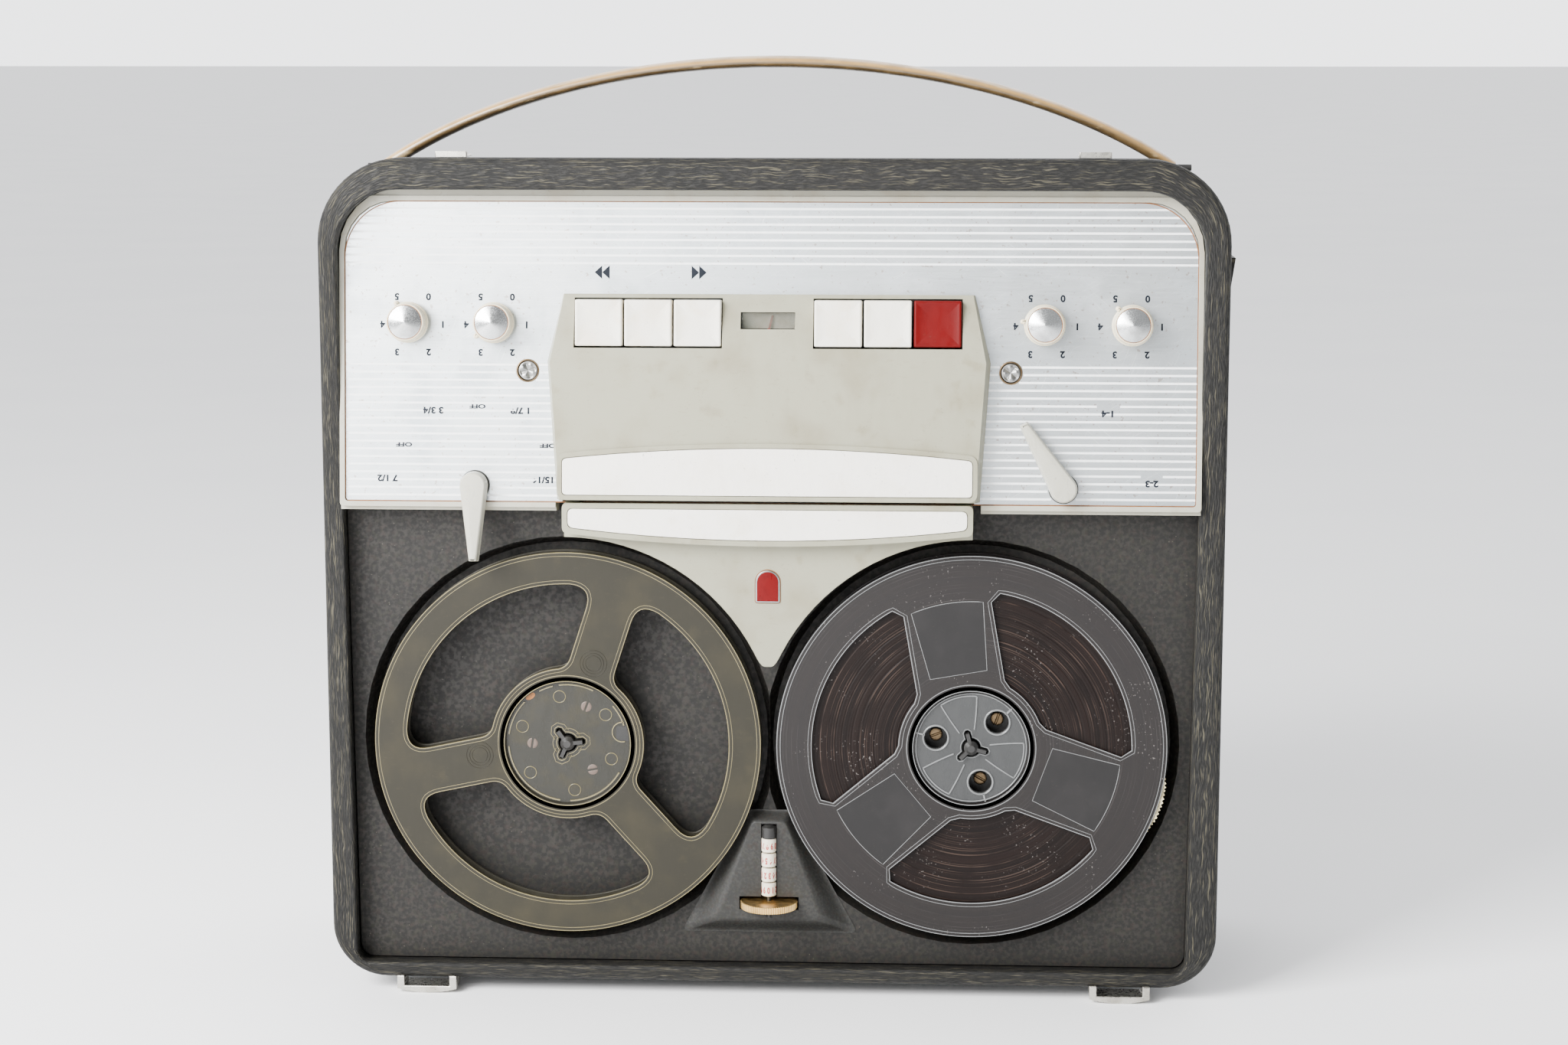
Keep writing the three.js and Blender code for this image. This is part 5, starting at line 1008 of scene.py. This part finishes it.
def window_outline(middle, inner, outer, spoke_half, corner, chamfered):
    """A window between two spokes of even width: an arc near the rim, one near the hub, and the spokes'
    sides, joined by curved or straight-cut corners."""
    third = math.pi / 3
    sides = middle + np.array([-third, third])
    along = unit(sides)
    off = np.stack([np.sin(sides), -np.cos(sides)], -1) * np.array([[-1.0], [1.0]]) * spoke_half
    high = along * math.sqrt(outer ** 2 - spoke_half ** 2) + off
    low = along * math.sqrt(inner ** 2 - spoke_half ** 2) + off

    def ends(points, reach):
        angles = np.arctan2(points[:, 1], points[:, 0])
        angles = middle + (angles - middle + math.pi) % (2 * math.pi) - math.pi
        return angles + np.array([1.0, -1.0]) * reach

    high_angle = ends(high, corner / outer)
    low_angle = ends(low, corner / 2 / inner)
    rim = outer * unit(np.linspace(high_angle[0], high_angle[1], 48))
    hub = inner * unit(np.linspace(low_angle[1], low_angle[0], 20))
    fall = [high[1] - along[1] * corner, low[1] + along[1] * corner / 2]
    rise = [low[0] + along[0] * corner / 2, high[0] - along[0] * corner]
    share = np.linspace(0, 1, 9)[1:-1, None]

    def bend(start, knee, end):
        if chamfered:
            return np.empty((0, 2))
        return start * (1 - share) ** 2 + 2 * knee * share * (1 - share) + end * share ** 2

    return np.concatenate([rim, bend(rim[-1], high[1], fall[0]), fall, bend(fall[1], low[1], hub[0]), hub,
                           bend(hub[-1], low[0], rise[0]), rise, bend(rise[1], high[0], rim[0])])


def keyed_outline(start_deg):
    """The spindle hole with its three slots."""
    hole, half, reach, cut = 4.2, 1.3, 8.0, 0.8
    root = math.sqrt(hole ** 2 - half ** 2)
    slot = np.array([[root, -half], [reach - cut, -half], [reach, -half + cut], [reach, half - cut],
                     [reach - cut, half], [root, half]])
    local = np.concatenate([slot, hole * unit(np.radians(np.linspace(24, 96, 9)))])
    return np.concatenate([rotated(local, math.radians(start_deg + 120 * i)) for i in range(3)])


def hub_holes():
    """Middles of the three round holes in the right reel's hub."""
    return [HOLE_CIRCLE * unit(math.radians(45 + 120 * i)) for i in range(3)]


def make_reel(side, hub, spoke_deg, slot_deg, inner, outer, spoke_half, corner, materials):
    """A reel: two flanges with three windows each and beaded rims, a barrel, a clear web with its slots, and
    painted glints: thin pale lines along the windows, the rims and the hub, standing for the light that runs
    out of the sheet's cut edges."""
    sheet, web_sheet, bright = materials
    name = "left" if side < 0 else "right"
    body = name + "_spool"
    place = at_spindle(side)
    windows = [window_outline(math.radians(spoke_deg + 60 + 120 * i), inner, outer, spoke_half, corner,
                              side > 0) for i in range(3)]
    back = REEL_FRONT + FLANGE + WINDING_GAP
    deep = back + FLANGE
    bore = hub - HUB_WALL
    flange = stencilled(circle(REEL_RADIUS, 180), [circle(bore, 72), *windows], FLANGE, 0.45)
    made(name + "_reel_flanges", [lifted(flange, REEL_FRONT + FLANGE / 2), lifted(flange, back + FLANGE / 2)],
         sheet, body, place, (name + "_reel",), 50, True)
    edge = 0.4
    barrel = ringed([[bore, REEL_FRONT + edge], [bore + edge, REEL_FRONT], [hub - edge, REEL_FRONT],
                     [hub, REEL_FRONT + edge], [hub, deep - edge], [hub - edge, deep], [bore + edge, deep],
                     [bore, deep - edge]], 96)
    made(name + "_reel_barrel", barrel, sheet, body, place, sharp=50)
    # Painted glints: pale lines along each window's edge and 1.5 mm outside it, and rings near the rim and
    # round the hub.
    lines = [round_line(outline, 0.28, REEL_FRONT + 0.05, REEL_FRONT + 0.35) for outline in windows]
    lines += [round_line(shrunk(outline, -1.5), 0.16, REEL_FRONT - 0.08, REEL_FRONT + 0.2)
              for outline in windows]
    rounds = ((88.7, 0.28, 0.0), (87.2, 0.2, 0.1), (hub + 0.4, 0.25, 0.1), (hub - 2.4, 0.25, 0.1))
    lines += [round_line(circle(r, 180), half, REEL_FRONT - rise, REEL_FRONT + 0.3)
              for r, half, rise in rounds]
    made(name + "_reel_painted_glint_lines", lines, bright, body, place, sharp=50)
    holes = [keyed_outline(slot_deg)]
    if side > 0:
        holes += [circle(5.1, 40, spot) for spot in hub_holes()]
    web_front = REEL_FRONT + HUB_WEB_SET
    web = lifted(stencilled(circle(hub - HUB_WALL / 2, 96), holes, HUB_WEB, 0.3), web_front + HUB_WEB / 2)
    made(name + "_reel_web", web, web_sheet, body, place, sharp=50, weighted=True)
    return place, body, web_front


def slotted_screw(centre, radius, front, turn):
    """A cheese-head screw: a disc with a rounded edge, its top split by a slot cut as a step in height."""
    r = radius * np.concatenate([np.linspace(0, 1, 14), [1.0]])[:, None]
    flat = r[..., None] * unit(full_turn(56))
    across = flat[..., 1] * math.cos(turn) - flat[..., 0] * math.sin(turn)
    depth = front + 0.5 / (1 + np.exp((np.abs(across) - 0.4) / 0.05)) + 0.25 * (r / radius) ** 8
    depth[-1] = front + 1.1
    return skin(at(flat + centre, depth[..., None]))


def make_left_reel():
    """Frosted empty reel: rims lined with painted glints, moulded rings and dimples on its yellowed hub drawn
    pale as painted glints, plain circles on its spokes, and a dark sheet of painted shade in the notch for
    the tape's end."""
    place, body, web = make_reel(-1, 31.5, 72, LEFT_SLOTS, 35.0, 74.5, 10.5, 11.0,
                                 (FROSTED, HUB_YELLOWED, PAINTED_GLINT_YELLOWED))
    arcs = ((64, 98), (104, 118), (136, 172), (184, 262), (272, 330), (18, 40))
    dimples = ((-3.6, 21.6), (-20.8, 7.4), (-17.4, -14.2), (3.0, -22.2), (20.1, -7.4), (17.6, 13.3))
    key = keyed_outline(LEFT_SLOTS)
    # The hub's moulded rings, outlines, dimples and hook are drawn in the pale glint material: painted glints
    # on real ribs.
    marks = [rib(27.3 * unit(np.radians(np.linspace(a, b, 24))), 0.4, web - 0.5, web + 0.2) for a, b in arcs]
    marks += [round_line(shrunk(key, -0.9), 0.28, web - 0.3, web + 0.2),
              round_line(shrunk(key, -2.6), 0.2, web - 0.25, web + 0.2)]
    marks += [collar(2.6, 0.35, web - 0.2, web + 0.2, spot) for spot in dimples]
    hook = np.array([25.2, 5.3]) + 4.6 * unit(np.radians(np.linspace(80, 285, 24)))
    marks.append(rib(hook, 0.3, web - 0.5, web + 0.2))
    made("left_reel_hub_marks", marks, PAINTED_GLINT_YELLOWED, body, place, sharp=50)
    plain = [collar(radius, 0.3, REEL_FRONT - 0.15, REEL_FRONT + 0.2, spot, 64)
             for spot in ((12.3, 37.6), (-40.5, -5.9)) for radius in (3.4, 4.6, 6.0)]
    made("left_reel_spoke_circles", plain, FROSTED, body, place, sharp=50)
    # Painted shade: a thin dark sheet on the web's face where the notch for the tape's end reads dark.
    notch = levelled(badge_outline(3.4, -5.0, 3.4), [[web - 0.06, 0.0], [web - 0.02, 0.0]])
    notch = moved(notch, lambda points: points[:, [1, 0, 2]] + [27.4, 4.6, 0.0])
    made("left_reel_notch_painted_shade", notch, DARK_PLASTIC, body, place)
    slugs = [slotted_screw(spot, 2.5, web - 0.2, turn)
             for spot, turn in (((-16.3, -0.4), 1.4), ((8.7, 17.0), 1.2), ((11.4, -12.5), 0.2))]
    made("left_turntable_screws", slugs, COPPERY, body, place)
    blot = circle(1.5, 24) * [1.6, 0.9] @ np.array([[0.85, 0.53], [-0.53, 0.85]]) + [-17.0, 21.6]
    made("left_reel_hub_stain", levelled(blot, [[web - 0.08, 0.0], [web - 0.03, 0.0]]), ORANGE, body, place)


def make_right_reel():
    """Clear reel: framed blank label fields on its spokes, a ribbed hub with three collared holes; frames,
    ribs and collars are drawn pale as painted glints.
    """
    place, body, web = make_reel(1, 29.0, RIGHT_SPOKES, RIGHT_SLOTS, 33.0, 73.0, 20.0, 5.0,
                                 (CLEAR, HUB_CLEAR, PAINTED_GLINT_CLEAR))
    ribs, frames, fields = [], [], []
    for i, hole in enumerate(hub_holes()):
        ribs.append(collar(5.3, 0.9, web - 0.7, web + 0.3, hole))
        turn = math.radians(RIGHT_SLOTS + 120 * i)
        for a, b in ((0.36, 0.1), (-0.36, -0.1)):
            line = np.linspace(24.0, 8.5, 12)[:, None] * unit(turn + np.linspace(a, b * 4.2, 12))
            ribs.append(rib(line, 0.35, web - 0.5, web + 0.3))
        ribs.append(rib(24.0 * unit(turn + np.linspace(-0.36, 0.36, 20)), 0.35, web - 0.5, web + 0.3))
        spoke = unit(math.radians(165 + 120 * i))
        ribs.append(rib(np.linspace(22.0, 26.0, 4)[:, None] * spoke[None], 0.5, web - 0.7, web + 0.3))
        turn = math.radians(RIGHT_SPOKES + 120 * i)
        line = np.concatenate([37.0 * unit(turn + np.array([-0.36, 0.36])),
                               68.0 * unit(turn + np.linspace(0.245, -0.245, 16))])
        frames.append(round_line(line, 0.2, REEL_FRONT - 0.12, REEL_FRONT + 0.2))
        fields.append(levelled(shrunk(line, 0.3), [[REEL_FRONT - 0.03, 0.0], [REEL_FRONT + 0.01, 0.0]]))
    ribs.append(collar(24.9, 0.6, web - 0.8, web + 0.3, steps=96))
    ribs.append(round_line(shrunk(keyed_outline(RIGHT_SLOTS), -0.6), 0.25, web - 0.2, web + 0.2))
    # Painted glints: the hub's ribs and collars and the label frames take the pale glint material.
    made("right_reel_hub_ribs", ribs, PAINTED_GLINT_CLEAR, body, place, sharp=50)
    made("right_reel_label_frames", frames, PAINTED_GLINT_CLEAR, body, place, sharp=50)
    made("right_reel_label_fields", fields, LABEL_FIELD, body, place, sharp=50)
    screws = [slotted_screw(hole, 3.0, 12.0, math.radians(70 - 50 * i)) for i, hole in enumerate(hub_holes())]
    made("turntable_screws", screws, BRONZE, body, place)


def make_tape():
    """The wound pack, its edge very slightly uneven, the loose last turn that has sprung away from it, and a
    torn scrap of leader between the flanges, frayed at its edge and crumpled by a few sines."""
    place, body = at_spindle(1), "right_spool"
    radii = np.linspace(CORE_RADIUS, PACK_RADIUS, 240)
    step = 0.09 * (np.sin(radii * 2.1) * np.sin(radii * 0.37 + 1) > 0.55) + 0.05 * (np.sin(radii * 5.3) > 0.9)
    profile = np.concatenate([np.column_stack([radii, TAPE_FRONT + 0.02 + step]),
                              [[PACK_RADIUS, TAPE_BACK], [CORE_RADIUS, TAPE_BACK]]])
    made("wound_pack", ringed(profile, 144), TAPE, body, place, ("tape_pack",), 60)
    turns = np.linspace(0, 1.2, 220)
    inner = PACK_RADIUS + 0.5 + 1.1 * turns
    around = unit(math.radians(-75) + 2 * math.pi * turns)
    sides = ((0.1, TAPE_FRONT), (0.45, TAPE_FRONT), (0.45, TAPE_BACK), (0.1, TAPE_BACK))
    loose = skin(stack([((inner + grow)[:, None] * around, y) for grow, y in sides], 1), caps=True)
    made("loose_turn", loose, TAPE, body, place, ("tape_outer_turn",), 60)
    turn = np.radians(np.linspace(-6.0, -27.0, 60))[:, None]
    share = np.linspace(0, 1, 12)[None]
    frayed = (87.2 + 3.3 * np.sin(np.pi * np.linspace(0.03, 0.97, 60)) ** 0.6
              + 0.5 * np.sin(np.arange(60) * 1.9))
    radius = 84.0 + (np.minimum(frayed, 91.0)[:, None] - 84.0) * share
    y = 5.6 - 1.8 * share ** 2 + 0.5 * np.sin(turn * 70 + share * 5) * share
    front = at(radius[..., None] * unit(turn), y[..., None])
    rings = np.concatenate([front, (front + [0.0, 0.0, 0.25])[:, ::-1]], 1)
    made("leader_scrap", skin(rings, caps=True), PAPER, body, place, sharp=70)


# Control panel

def arrows(u, v, way):
    """Two solid arrow heads that point along the panel."""
    tips = np.array([[0.0, 0.0], [3.4, 3.1], [3.4, -3.1]])
    flats = [(tips + [start, 0.0]) * [way, 1.0] + [u, v] for start in (0.0, 3.4)]
    return joined([skin(stack([(flat, 0.0), (flat, 0.06)]), caps=True) for flat in flats])


def make_panel_print():
    """The plate's white lines, the glue line round its edge, and its figures and arrows."""
    gaps = {5: (147.0, 157.4), 14: (166.9, 176.7)}
    lines = [(-PLATE_HALF, PLATE_HALF, 133.4 - 3.5 * k) for k in range(8)]
    holes = [(s * SCREW_U, SCREW_V, 5.7) for s in (-1, 1)] + [(s * LEVER_U, LEVER_V, 7.2) for s in (-1, 1)]
    for k in range(18):
        v = 63.2 - 3.47 * k
        stops = list(gaps.get(k, ()))
        for u, middle, radius in holes:
            if abs(v - middle) < radius:
                reach = math.sqrt(radius ** 2 - (v - middle) ** 2)
                stops += [u - reach, u + reach]
        stops = sorted([-PLATE_HALF, *stops, PLATE_HALF])
        lines += [(a, b, v) for a, b in zip(stops[::2], stops[1::2])]
    a, b, v = np.array(lines).T
    # In the plate's round corners the lines end on the arc
    over = np.clip(v - (PLATE_HIGH - PLATE_CORNER), 0, PLATE_CORNER)
    pull = PLATE_CORNER - np.sqrt(np.maximum(PLATE_CORNER ** 2 - over ** 2, 0))
    a = np.where(a < -180, a + pull, a)
    b = np.where(b > 180, b - pull, b)
    strips = boxes(at(np.stack([a, v - LINE_HALF], -1), 0.0),
                   at(np.stack([b, v + LINE_HALF], -1), LINE_HEIGHT))
    made("panel_lines", strips, WHITE_LINE, "case", on_panel)
    half = PLATE_HALF + 0.1
    outline = box_outline(half, half, PLATE_LOW, PLATE_HIGH + 0.1, 0.8, PLATE_CORNER, 24)
    inner = shrunk(outline, 0.55)
    rings = stack([(outline, 0.0), (outline, 0.12), (inner, 0.12), (inner, 0.0)])
    made("plate_glue_line", skin(rings, True), STAIN, "case", on_panel)
    knobs = ((-KNOB_OUTER, 1.4, 0.75), (-KNOB_INNER, 0.5, 0.75), (KNOB_INNER, 1.0, 0.4),
             (KNOB_OUTER, -0.3, 0.4))
    dial = ((0, 60, 14.4), (1, 0, 13.7), (2, -60, 14.4), (3, -120, 14.4), (4, 180, 13.7), (5, 120, 14.4))
    words = []
    for x, right, down in knobs:
        for figure, turn, reach in dial:
            spot = reach * unit(math.radians(turn))
            words.append(letters(str(figure), 4.1, x + right + spot[0], KNOB_V - down + spot[1], 1.05))
    marks = (("3 3/4", -151.5, 42.6), ("1 7/8", -111.8, 42.6), ("7 1/2", -172.4, 11.8),
             ("15/16", -101.5, 11.4), ("1-4", 152.1, 42.8), ("2-3", 171.8, 11.6))
    words += [letters(text, 3.9, u, v, 1.15) for text, u, v in marks]
    words += [letters("OFF", 2.6, u, v, 1.6) for u, v in ((-131.4, 44.4), (-164.8, 27.0), (-99.4, 26.8))]
    words += [arrows(-78.4, 104.9, 1.0), arrows(-27.9, 104.9, -1.0)]
    made("panel_figures", words, INK, "case", on_panel)
    made("meter_card", boxes([-11.8, 80.0, -1.2], [11.8, 87.0, -1.1]), DRUM_WHITE, "case", on_panel)


def make_knobs():
    """Cream knobs that stand on their shafts: a low flange, a tapered ring, a pointing nub, and a spun cap
    with a brown line round it."""
    knobs = (("left_outer", -KNOB_OUTER, 120), ("left_inner", -KNOB_INNER, 218),
             ("right_inner", KNOB_INNER, 171), ("right_outer", KNOB_OUTER, 131))
    along, inward = quarter(6)
    flange = [[9.2 - 0.6 * i, 2.4 + 0.6 * a] for a, i in zip(along, inward)]
    lip = [[8.4 - 0.6 * i, 8.4 + 0.6 * a] for a, i in zip(along, inward)]
    ring = turned([[0, 0.0], [9.0, 0.0], [9.2, 0.2], *flange, [8.75, 3.1], *lip, [7.75, 9.0], [7.6, 8.3],
                   [0, 8.3]], 72)
    dome = np.linspace(1, 0, 16)
    cap = turned([[0, 8.4], [CAP_RADIUS - 0.05, 8.4], [CAP_RADIUS, 8.7],
                  *np.column_stack([CAP_RADIUS * dome, 9.0 + 2.3 * (1 - dome ** 1.25)])], 96)
    nub = soft_outline([(8.2, -1.1), (11.0, -1.1), (11.0, 1.1), (8.2, 1.1)], [0.3, 1.09, 1.09, 0.3], 8)
    shaft = turned([[0, 0.4 - KNOB_LIFT], [3.0, 0.4 - KNOB_LIFT], [3.0, 0.2], [0, 0.2]], 32)
    line = ringed([[7.42, 8.5], [7.8, 8.5], [7.77, 9.04], [7.45, 9.04]], 72)
    for number, (side, u, turn) in enumerate(knobs, 1):
        name, body, place = "knob_" + side, f"knob_{number}", panel_spot(u, KNOB_V, KNOB_LIFT)
        peg = levelled(rotated(nub, math.radians(turn)), rounded_levels(0.0, 4.0, 0.8))
        made(name + "_moulded", [ring, peg], KNOB_CREAM, body, place, (name,))
        made(name + "_shaft", shaft, STEEL, body, place)
        made(name + "_cap", cap, SPUN, body, place)
        made(name + "_line", line, STAIN, body, place)


def lever_outline():
    """Round head and narrow tip joined by two straight sides that touch the head."""
    head, tip, length = 6.2, 2.1, 34.5
    lean = math.asin((head - tip) / length)
    bow = head * unit(np.linspace(-lean, math.pi + lean, 20))
    foot = 3 - length
    end = soft_outline([(-tip, foot), (-tip, -length), (tip, -length), (tip, foot)], [0.1, 0.6, 0.6, 0.1], 6)
    return np.concatenate([bow, end[6:18]])


def make_levers():
    """Two tapered levers with drafted sides and a rounded face, each over a thin dark disc laid on the plate
    as painted shade round its foot.
    """
    along, inward = quarter(8)
    levels = [[2.7, 0.0], [3.0, 0.05], [7.2, 0.3], *np.column_stack([7.4 + 1.5 * along, 0.32 + 1.0 * inward])]
    hub = turned([[0, 0.4], [4.9, 0.4], [5.1, 0.6], [5.1, 2.9], [0, 2.9]], 48)
    # Painted shade: a thin dark disc on the plate's face round each lever's foot.
    hole = turned([[0, 0.01], [6.7, 0.01], [6.7, 0.06], [0, 0.06]], 48)
    for body, side, lean_deg in (("speed_lever", -1, 0.0), ("track_lever", 1, 180 + 31.9)):
        blade = levelled(rotated(lever_outline(), math.radians(lean_deg)), levels)
        place = panel_spot(side * LEVER_U, LEVER_V)
        made(body + "_moulded", [blade, hub], LEVER_GREY, body, place, (body,), 45)
        made(body + "_hole", hole, DARK_PLASTIC, "case", place)


def make_screws():
    """Recessed screws: a brown cup let into the plate and a domed head cut into a star of eight wedges."""
    around = 96
    share = np.linspace(0, 1, 24)[:, None]
    angle = full_turn(around)[None]
    reach = 1 / (1 + np.exp((share * SCREW_RADIUS - 3.4) / 0.15))
    cup = ringed([[4.15, -1.5], [5.0, -1.5], [5.3, 0.0], [5.1, 0.12], [4.7, 0.12], [4.2, -0.9]], 72)
    for name, side, turn in (("panel_screw_left", -1, 0.3), ("panel_screw_right", 1, 0.9)):
        star = np.abs(np.sin(2 * (angle - turn))) * np.clip(share * 1.6, 0, 1)
        height = -0.1 - 0.5 * share ** 2 - 0.9 * (1 - star) * reach
        head = at(SCREW_RADIUS * share[..., None] * unit(angle), height[..., None])
        foot = at(SCREW_RADIUS * unit(angle), SCREW_FOOT)
        base = turned([[0, SCREW_FOOT], [SCREW_RADIUS, SCREW_FOOT]], around)
        place = panel_spot(side * SCREW_U, SCREW_V)
        made(name + "_head", [skin(np.concatenate([head, foot])), base], STEEL, "case", place, (name,),
             60)
        made(name + "_cup", cup, BRONZE, "case", place)


def make_keys():
    """Six keys with upright sides, crisp edges and a dished face, each on its stem."""
    pitch = (BAY_OUTER - BAY_INNER) / 3
    half_u = (pitch - KEY_GAP) / 2
    half_v = (BAY_HIGH - BAY_LOW) / 2 - KEY_GAP
    outline = box_outline(half_u, half_u, -half_v, half_v, 0.9, 0.9, 8)
    along, inward = quarter(7)
    levels = [[1.5, 0.0], [2.0, 0.0], *np.column_stack([7.5 + 0.7 * along, 0.25 + 0.7 * inward])]
    rings = [(shrunk(outline, inset), height) for height, inset in levels]
    face = rings[-1][0]
    rings += [(face * (1 - s), 8.2 - 0.6 * (1 - (1 - s) ** 4)) for s in np.linspace(0.06, 1, 14)[:-1]]
    key = [skin(stack(rings), caps=True), boxes([-3.0, -half_v / 2, -14.0], [3.0, half_v / 2, 1.6])]
    for i in range(6):
        left = -BAY_OUTER + i * pitch if i < 3 else BAY_INNER + (i - 3) * pitch
        name, red = f"key_{i + 1}", i == 5
        place = panel_spot(left + pitch / 2, (BAY_LOW + BAY_HIGH) / 2)
        made(name + "_moulded", key, RECORD_RED if red else IVORY, name, place, (name,))


# Stage

def make_stage():
    """Pale floor that runs far back, bright surroundings behind and dimmer ones in front, a large soft light
    from the upper left, and a soft box beside the camera that the plate mirrors."""
    reach = FLOOR_REACH
    mesh = bpy.data.meshes.new("floor")
    floor = np.array([[-reach, -reach, 0], [reach, -reach, 0], [reach, reach, 0], [-reach, reach, 0]])
    mesh.from_pydata((floor * MM).tolist(), [], [[0, 1, 2, 3]])
    material, tree, place = begun("pale_paper_floor")
    cloud = patches(tree, place, 300.0, 0.3, 0.7, 2.0)
    ended(tree, {"Base Color": tinted(tree, cloud, "#f0f0f1", "#f3f3f3"), "Roughness": 0.85})
    mesh.materials.append(material)
    ground = bpy.data.objects.new("floor", mesh)
    bpy.context.scene.collection.objects.link(ground)

    world = bpy.data.worlds.new("studio")
    world.use_nodes = True
    tree = world.node_tree
    tree.nodes.clear()
    way = put(tree, "ShaderNodeTexCoord").outputs["Generated"]
    way = put(tree, "ShaderNodeSeparateXYZ", {"Vector": way}).outputs[1]
    behind = put(tree, "ShaderNodeMapRange", {"Value": way, "From Min": -0.2, "From Max": 0.7,
                                              "To Min": 0.8, "To Max": 4.2}, interpolation_type="SMOOTHSTEP")
    sky = put(tree, "ShaderNodeBackground", {"Color": hex_colour("#e4e5e7"), "Strength": behind})
    put(tree, "ShaderNodeOutputWorld", {"Surface": sky})
    bpy.context.scene.world = world

    for name, spot, power, size in LIGHTS:
        lamp = bpy.data.lights.new(name, "AREA")
        lamp.energy = power
        lamp.size = size * MM
        thing = bpy.data.objects.new(name, lamp)
        thing.location = Vector(placed(spot))
        aim = Vector(placed(LIGHT_AIM)) - thing.location
        thing.rotation_euler = aim.to_track_quat("-Z", "Y").to_euler()
        bpy.context.scene.collection.objects.link(thing)


def make_camera():
    """The photograph's view: a little right of the middle and above it, turned slightly to the left."""
    lens = bpy.data.cameras.new("camera")
    lens.lens = CAMERA_LENS
    lens.sensor_width = 36.0
    camera = bpy.data.objects.new("camera", lens)
    camera.location = Vector(placed(CAMERA_SPOT))
    camera.rotation_euler = (math.radians(90 - CAMERA_DOWN_DEG), 0.0, math.radians(CAMERA_LEFT_DEG))
    bpy.context.scene.collection.objects.link(camera)
    bpy.context.scene.camera = camera


make_camera()
make_stage()
make_case()
make_handle()
for finish, bevel, slot, segments, nodes in DRESSED:
    for node in nodes.split():
        dressed(node, finish, bevel, segments)
make_badge()
make_counter()
make_left_reel()
make_right_reel()
make_tape()
make_panel_print()
make_knobs()
make_levers()
make_screws()
make_keys()
